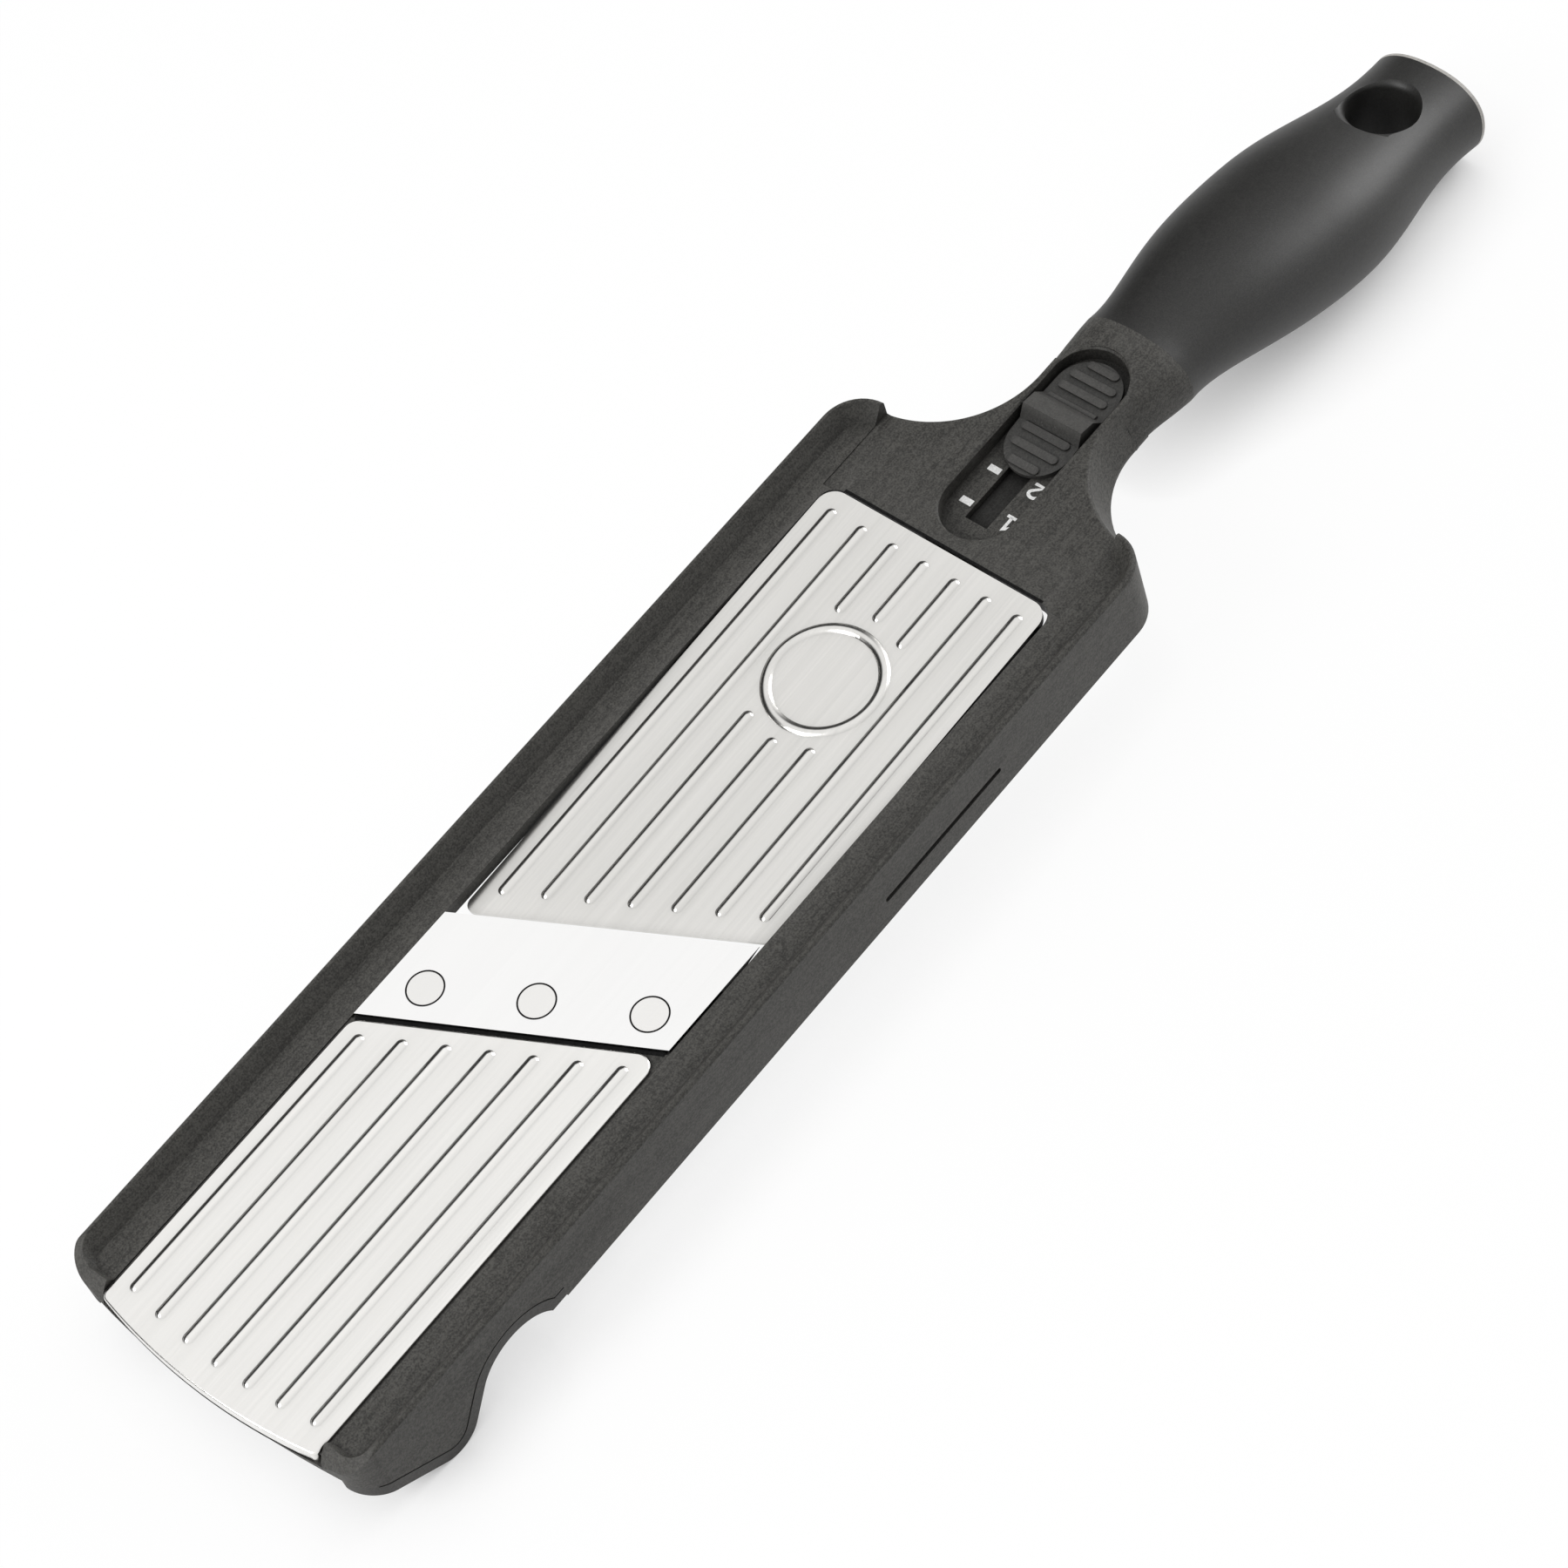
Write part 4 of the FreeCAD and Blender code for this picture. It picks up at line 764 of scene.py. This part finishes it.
@dataclass
class Chassis:
    """Frame moulding with its feet, hinge pin, neck cover, screws and painted setting marks.

    Sizes are in bench millimetres, but the bow of the figure 2 is drawn in a unit box.
    """

    workshop: Workshop
    floor_z: float = -4.5
    ink: float = 0.05
    lift: float = 0.01
    first_x: float = 117.35
    step: float = 9.0
    tick_from: float = 3.5
    tick_to: float = 6.4
    tick_width: float = 1.5
    digit_y: float = -7.0
    digit_width: float = 2.6
    digit_height: float = 3.2
    stroke: float = 0.72
    bow_middle: Point = (0.5, 0.72)
    bow_radii: Point = (0.47, 0.28)
    bow_start_deg: float = 165.0
    bow_turn_deg: float = -25.0
    bow_points: int = 9
    bow_foot: Point = (0.04, 0.0)
    # Where the dark crosses that paint the shade of the screws' cross recesses lie.
    screw_x: float = 117.8
    screw_y: float = 13.0
    screw_z: float = -14.95
    cross_arm: float = 1.45
    cross_width: float = 0.6
    cross_depth: float = 0.03
    # Where the dark strip of painted shade lies on the deck's edge behind the ramp.
    shade_strip_x: float = 104.65
    shade_strip_half: float = 25.5
    shade_strip_width: float = 0.7
    deck_z: float = -0.75

    def dress(self) -> None:
        """Gives each node of the frame its finish."""
        self.workshop.dress({
            "frame": FRAME_FINISH, "foot_pad_left": FOOT_FINISH, "foot_pad_right": FOOT_FINISH,
            "hinge_pin": PIN_FINISH, "neck_cover": SHADED_INNER_FINISH, "cover_screws": PIN_FINISH,
            "detent_spring": SPRING_FINISH, "spring_screw": PIN_FINISH})

    def one(self) -> List[List[Point]]:
        """Strokes of the figure 1 in a unit box, as (right, up)."""
        return [[(0.1, 0.74), (0.55, 1.0), (0.55, 0.0)], [(0.1, 0.0), (1.0, 0.0)]]

    def two(self) -> List[List[Point]]:
        """Strokes of the figure 2 in a unit box: a half round, a slanted line and a foot.

        Returns:
            Paths of (right, up) points.
        """
        bow = []
        for i in range(self.bow_points):
            turn = math.radians(self.bow_start_deg + i * self.bow_turn_deg)
            right = self.bow_middle[0] + self.bow_radii[0] * math.cos(turn)
            up = self.bow_middle[1] + self.bow_radii[1] * math.sin(turn)
            bow.append((right, up))
        return [bow + [self.bow_foot, (1.0, 0.0)]]

    def setting_marks(self) -> None:
        """Paints ticks and numbers on the floor of the slider's recess, read from the handle."""
        shape = bmesh.new()
        z = self.floor_z + self.lift
        for i, figure in enumerate((self.one(), self.two())):
            x = self.first_x + i * self.step
            ribbon(shape, [(x, self.tick_from), (x, self.tick_to)], self.tick_width, z, self.ink)
            foot = x + self.digit_height / 2
            for path in figure:
                placed = [(foot - self.digit_height * up, self.digit_y + self.digit_width * right)
                          for right, up in path]
                ribbon(shape, placed, self.stroke, z, self.ink)
        self.workshop.make("setting_marks", Slot.CAP, MARK_FINISH, shape)

    def screw_drive_shades(self) -> None:
        """Paints the shade of the screws' cross recesses as dark crosses under the neck."""
        shape = bmesh.new()
        z = self.screw_z - self.cross_depth
        for y in (self.screw_y, -self.screw_y):
            middle = Vector((self.screw_x, y))
            for arm in (Vector((self.cross_arm, 0.0)), Vector((0.0, self.cross_arm))):
                ribbon(shape, [middle - arm, middle + arm], self.cross_width, z, self.cross_depth)
        self.workshop.make("screw_drive_shades", Slot.PIN, PAINTED_SHADE_FINISH, shape)

    def deck_gap_shade(self) -> None:
        """Paints shade as a dark strip on the deck's edge behind the ramp, where the gap lies in shadow.
        """
        shape = bmesh.new()
        ends = [(self.shade_strip_x, -self.shade_strip_half), (self.shade_strip_x, self.shade_strip_half)]
        ribbon(shape, ends, self.shade_strip_width, self.deck_z + self.lift, self.lift)
        self.workshop.make("deck_gap_shade", Slot.INNER, PAINTED_SHADE_FINISH, shape)

    def build(self) -> None:
        """Dresses the frame and adds its small pieces."""
        self.dress()
        self.setting_marks()
        self.screw_drive_shades()
        self.deck_gap_shade()


@dataclass
class CuttingBed:
    """Front plate and skewed blade with its three rivets, with sizes in bench millimetres."""

    workshop: Workshop
    skew_deg: float = 26.1
    middle_x: float = -18.82
    step: float = 20.475
    # Dark rings of painted shade round the rivets.
    ring_radius: float = 3.83
    ring_width: float = 0.34
    ring_height: float = 0.015
    ring_sides: int = 64
    # Dark strip of painted shade in the gap ahead of the blade.
    shade_strip_x: float = -27.32
    shade_strip_half: float = 28.2
    shade_strip_width: float = 0.9
    shade_strip_z: float = -0.79
    shade_strip_thick: float = 0.05
    # Thin dark line of painted shadow and painted dark reflection under the front lip.
    lip_x: float = -115.6
    lip_radius: float = 140.0
    lip_half: float = 27.0
    lip_steps: int = 40
    lip_width: float = 0.08
    lip_z: float = -3.6
    lip_height: float = 0.7

    def dress(self) -> None:
        """Gives the plate, the blade and the rivets their finish."""
        self.workshop.dress({
            "front_plate": PLATE_FINISH, "blade": BLADE_FINISH, "blade_rivets": RIVET_FINISH})

    def slope(self) -> float:
        """How far the skewed blade runs along the slicer for each millimetre across it."""
        return math.tan(math.radians(self.skew_deg))

    def rivet_ring_shades(self) -> None:
        """Paints shade as a fine dark ring on the blade round each rivet, where the gap lies in shadow.
        """
        shape = bmesh.new()
        turns = [2 * math.pi * k / self.ring_sides for k in range(self.ring_sides + 1)]
        for i in (-1, 0, 1):
            y = i * self.step
            x = self.middle_x - self.slope() * y
            circle = [(x + self.ring_radius * math.cos(turn), y + self.ring_radius * math.sin(turn))
                      for turn in turns]
            ribbon(shape, circle, self.ring_width, self.ring_height, self.ring_height)
        self.workshop.make("rivet_ring_shades", Slot.PIN, PAINTED_SHADE_FINISH, shape)

    def blade_gap_shade(self) -> None:
        """Paints shade as a dark strip in the gap ahead of the blade."""
        shape = bmesh.new()
        rise = self.slope() * self.shade_strip_half
        ends = [(self.shade_strip_x + rise, -self.shade_strip_half), (self.shade_strip_x - rise, self.shade_strip_half)]
        ribbon(shape, ends, self.shade_strip_width, self.shade_strip_z, self.shade_strip_thick)
        self.workshop.make("blade_gap_shade", Slot.INNER, PAINTED_SHADE_FINISH, shape)

    def lip_shade_line(self) -> None:
        """Paints shadow and a dark reflection as a thin dark line along the foot of the plate's bowed
        front lip.
        """
        shape = bmesh.new()
        path = []
        for i in range(self.lip_steps + 1):
            y = self.lip_half * (2 * i / self.lip_steps - 1)
            path.append((self.lip_x + self.lip_radius - math.sqrt(self.lip_radius ** 2 - y ** 2), y))
        ribbon(shape, path, self.lip_width, self.lip_z, self.lip_height)
        self.workshop.make("lip_shade_line", Slot.INNER, PAINTED_SHADE_FINISH, shape)

    def build(self) -> None:
        """Dresses the bed and adds painted shade round the rivets, ahead of the blade and under the lip.
        """
        self.dress()
        self.rivet_ring_shades()
        self.blade_gap_shade()
        self.lip_shade_line()


@dataclass
class Handle:
    """Soft grip and the cap across its end."""

    workshop: Workshop

    def build(self) -> None:
        """Gives the grip and its cap their finish."""
        self.workshop.dress({"grip": GRIP_FINISH, "handle_end_cap": CAP_FINISH})


@dataclass
class Ramp:
    """Ramp plate on its carrier, with the cam pin."""

    workshop: Workshop

    def build(self) -> None:
        """Gives the ramp's nodes their finish."""
        self.workshop.dress({
            "ramp_plate": SHADED_RAMP_FINISH, "ramp_carrier": SHADED_INNER_FINISH, "cam_pin": PIN_FINISH})


@dataclass
class Adjuster:
    """Slide under the neck and the thumb slider on top of it."""

    workshop: Workshop

    def build(self) -> None:
        """Gives the slide's nodes their finish."""
        self.workshop.dress({
            "adjuster_slide": SHADED_INNER_FINISH, "thumb_slider": SLIDER_FINISH, "slider_screw": PIN_FINISH})


def seen_rays(nodes: NodeTree, path: bpy.types.Node) -> Socket:
    """Gives 1 for rays of the eye, of gloss and through clear things, 0 for others, from a Light Path."""
    seen = nodes.math(Sum.MOST, path.outputs["Is Camera Ray"], path.outputs["Is Glossy Ray"])
    return nodes.math(Sum.MOST, seen, path.outputs["Is Transmission Ray"])


@dataclass(frozen=True)
class Floor:
    """White floor, which keeps a soft shadow and is clear from below."""

    half: float = 3.0
    drop: float = 0.1 * MM
    tone: Tuple[float, float, float, float] = (0.97, 0.97, 0.97, 1.0)
    white_share: float = 0.93
    cover_reach: float = 0.02
    cover_samples: int = 8

    def material(self) -> bpy.types.Material:
        """Makes the floor's material: white where nothing stands near, matt in the shadow.

        Returns:
            The material.
        """
        material, nodes = empty_material("studio_white")
        matt = nodes.add("ShaderNodeBsdfDiffuse")
        matt.inputs["Color"].default_value = self.tone
        cover = nodes.add("ShaderNodeAmbientOcclusion", samples=self.cover_samples)
        cover.inputs["Distance"].default_value = self.cover_reach
        share = nodes.math(Sum.TIMES, cover.outputs["AO"], self.white_share)
        seen = seen_rays(nodes, nodes.add("ShaderNodeLightPath"))
        blend = nodes.add("ShaderNodeMixShader")
        nodes.join(nodes.math(Sum.TIMES, seen, share), blend.inputs["Fac"])
        nodes.join(matt.outputs["BSDF"], blend.inputs[1])
        nodes.join(nodes.add("ShaderNodeEmission").outputs["Emission"], blend.inputs[2])
        clear = nodes.add("ShaderNodeMixShader")
        nodes.join(nodes.add("ShaderNodeNewGeometry").outputs["Backfacing"], clear.inputs["Fac"])
        nodes.join(blend.outputs["Shader"], clear.inputs[1])
        nodes.join(nodes.add("ShaderNodeBsdfTransparent").outputs["BSDF"], clear.inputs[2])
        output = nodes.add("ShaderNodeOutputMaterial")
        nodes.join(clear.outputs["Shader"], output.inputs["Surface"])
        return material

    def build(self) -> None:
        """Lays the floor."""
        mesh = bpy.data.meshes.new("studio_floor")
        corners = [(-self.half, -self.half, 0), (self.half, -self.half, 0),
                   (self.half, self.half, 0), (-self.half, self.half, 0)]
        mesh.from_pydata(corners, [], [range(len(corners))])
        mesh.materials.append(self.material())
        plane = bpy.data.objects.new("studio_floor", mesh)
        plane.location.z = -self.drop
        bpy.context.scene.collection.objects.link(plane)


@dataclass(frozen=True)
class Lamp:
    """Square soft lamp that looks at the slicer, in metres and watts."""

    name: str
    place: Place
    size: float
    power: float

    def build(self) -> None:
        """Hangs the lamp."""
        data = bpy.data.lights.new(self.name, "AREA")
        data.shape = "SQUARE"
        data.size = self.size
        data.energy = self.power
        lamp = bpy.data.objects.new(self.name, data)
        lamp.location = self.place
        lamp.rotation_euler = (-Vector(self.place)).to_track_quat("-Z", "Y").to_euler()
        bpy.context.scene.collection.objects.link(lamp)


@dataclass(frozen=True)
class Sky:
    """Surround: a broad screen that lights the slicer, and the white that the eye and gloss see.

    Spans are parts of a ray's direction between which a soft edge lies.
    """

    screen_start: Span = (-0.65, -0.3)
    screen_fade: Span = (0.15, 0.35)
    screen_edge: Span = (-0.75, 0.1)
    screen_level: float = 1.04
    far_level: float = 0.46
    dim_rise: Span = (0.14, 0.26)
    dim_levels: Span = (0.03, 0.5)
    gap_side: Span = (0.25, 0.5)
    gap_foot: Span = (0.0, 0.1)
    gap_top: Span = (0.66, 0.79)
    gap_depth: float = 0.99

    def screen(self, nodes: NodeTree, ray: bpy.types.Node) -> Socket:
        """Broad white screen behind the slicer, dim on the camera's side.

        Args:
            nodes: Tree of the world.
            ray: Parts of a ray's direction.

        Returns:
            Level of the screen.
        """
        along = ray.outputs["X"]
        start = nodes.remap(along, self.screen_start, UNIT, Easing.SMOOTH)
        fade = nodes.remap(along, self.screen_fade, (1.0, self.far_level), Easing.SMOOTH)
        edge = nodes.remap(ray.outputs["Y"], self.screen_edge, UNIT, Easing.SMOOTH)
        dim = nodes.remap(along, self.dim_rise, self.dim_levels, Easing.SMOOTH)
        lit = nodes.math(Sum.TIMES, nodes.math(Sum.TIMES, start, fade), edge)
        gain = nodes.math(Sum.MINUS, self.screen_level, dim)
        return nodes.math(Sum.PLUS, dim, nodes.math(Sum.TIMES, lit, gain))

    def white(self, nodes: NodeTree, ray: bpy.types.Node, path: bpy.types.Node) -> Socket:
        """White surround, with one dark gap beyond the left rail that the eye doesn't see.

        Args:
            nodes: Tree of the world.
            ray: Parts of a ray's direction.
            path: Light Path node of the tree.

        Returns:
            Level of the surround, 1 where it is white.
        """
        side = nodes.remap(ray.outputs["Y"], self.gap_side, UNIT, Easing.SMOOTH)
        above = nodes.remap(ray.outputs["Z"], self.gap_foot, UNIT, Easing.SMOOTH)
        below = nodes.remap(ray.outputs["Z"], self.gap_top, FALLING, Easing.SMOOTH)
        gap = nodes.math(Sum.TIMES, nodes.math(Sum.TIMES, above, below), side)
        gap = nodes.math(Sum.TIMES, gap, self.gap_depth)
        return nodes.math(Sum.MOST, nodes.math(Sum.MINUS, 1.0, gap), path.outputs["Is Camera Ray"])

    def build(self) -> None:
        """Puts the surround round the scene."""
        world = bpy.data.worlds.new("studio_sky")
        world.use_nodes = True
        world.node_tree.nodes.clear()
        nodes = NodeTree(world.node_tree)
        ray = nodes.add("ShaderNodeSeparateXYZ")
        nodes.join(nodes.add("ShaderNodeTexCoord").outputs["Generated"], ray.inputs["Vector"])
        path = nodes.add("ShaderNodeLightPath")
        screen = self.screen(nodes, ray)
        change = nodes.math(Sum.MINUS, self.white(nodes, ray, path), screen)
        change = nodes.math(Sum.TIMES, change, seen_rays(nodes, path))
        back = nodes.add("ShaderNodeBackground")
        back.inputs["Color"].default_value = WHITE
        nodes.join(nodes.math(Sum.PLUS, screen, change), back.inputs["Strength"])
        output = nodes.add("ShaderNodeOutputWorld")
        nodes.join(back.outputs["Background"], output.inputs["Surface"])
        bpy.context.scene.world = world


@dataclass(frozen=True)
class PhotoCamera:
    """Camera as it stood for the photograph, placed in bench millimetres."""

    eye: Place = (-231.98, -457.03, 762.83)
    right: Place = (0.6309, -0.74694, -0.20987)
    up: Place = (0.71624, 0.45672, 0.52764)
    focal_pixels: float = 5534.5
    photo_pixels: float = 1800.0
    sensor: float = 36.0

    def build(self) -> None:
        """Sets the camera up."""
        data = bpy.data.cameras.new("photo_camera")
        data.sensor_fit = "HORIZONTAL"
        data.sensor_width = self.sensor
        data.lens = self.sensor * self.focal_pixels / self.photo_pixels
        right = Vector(self.right).normalized()
        up = (Vector(self.up) - right * right.dot(Vector(self.up))).normalized()
        turn = Matrix((right, up, right.cross(up))).transposed().to_4x4()
        camera = bpy.data.objects.new("photo_camera", data)
        camera.matrix_world = BENCH.matrix() @ Matrix.Translation(Vector(self.eye) * MM) @ turn
        bpy.context.scene.collection.objects.link(camera)
        bpy.context.scene.camera = camera


@dataclass(frozen=True)
class Studio:
    """Pale floor, soft lamps, sky and camera around the slicer."""

    floor: Floor = Floor()
    key: Lamp = Lamp("key_lamp", (-1.0, 0.25, 0.85), size=0.6, power=9.0)
    fill: Lamp = Lamp("fill_lamp", (1.45, -0.3, 0.6), size=0.8, power=11.5)
    sky: Sky = Sky()
    camera: PhotoCamera = PhotoCamera()

    def build(self) -> None:
        """Sets up everything around the slicer."""
        for item in (self.floor, self.key, self.fill, self.sky, self.camera):
            item.build()
        bpy.context.scene.view_settings.view_transform = "Standard"


def main() -> None:
    """Builds the studio, then each sub-assembly in order."""
    logging.basicConfig(level=logging.INFO, format="%(message)s")
    Studio().build()
    workshop = Workshop()
    for assembly in (Chassis, CuttingBed, Handle, Ramp, Adjuster):
        assembly(workshop).build()
        LOG.info("built %s", assembly.__name__)


if __name__ == "__main__":
    main()
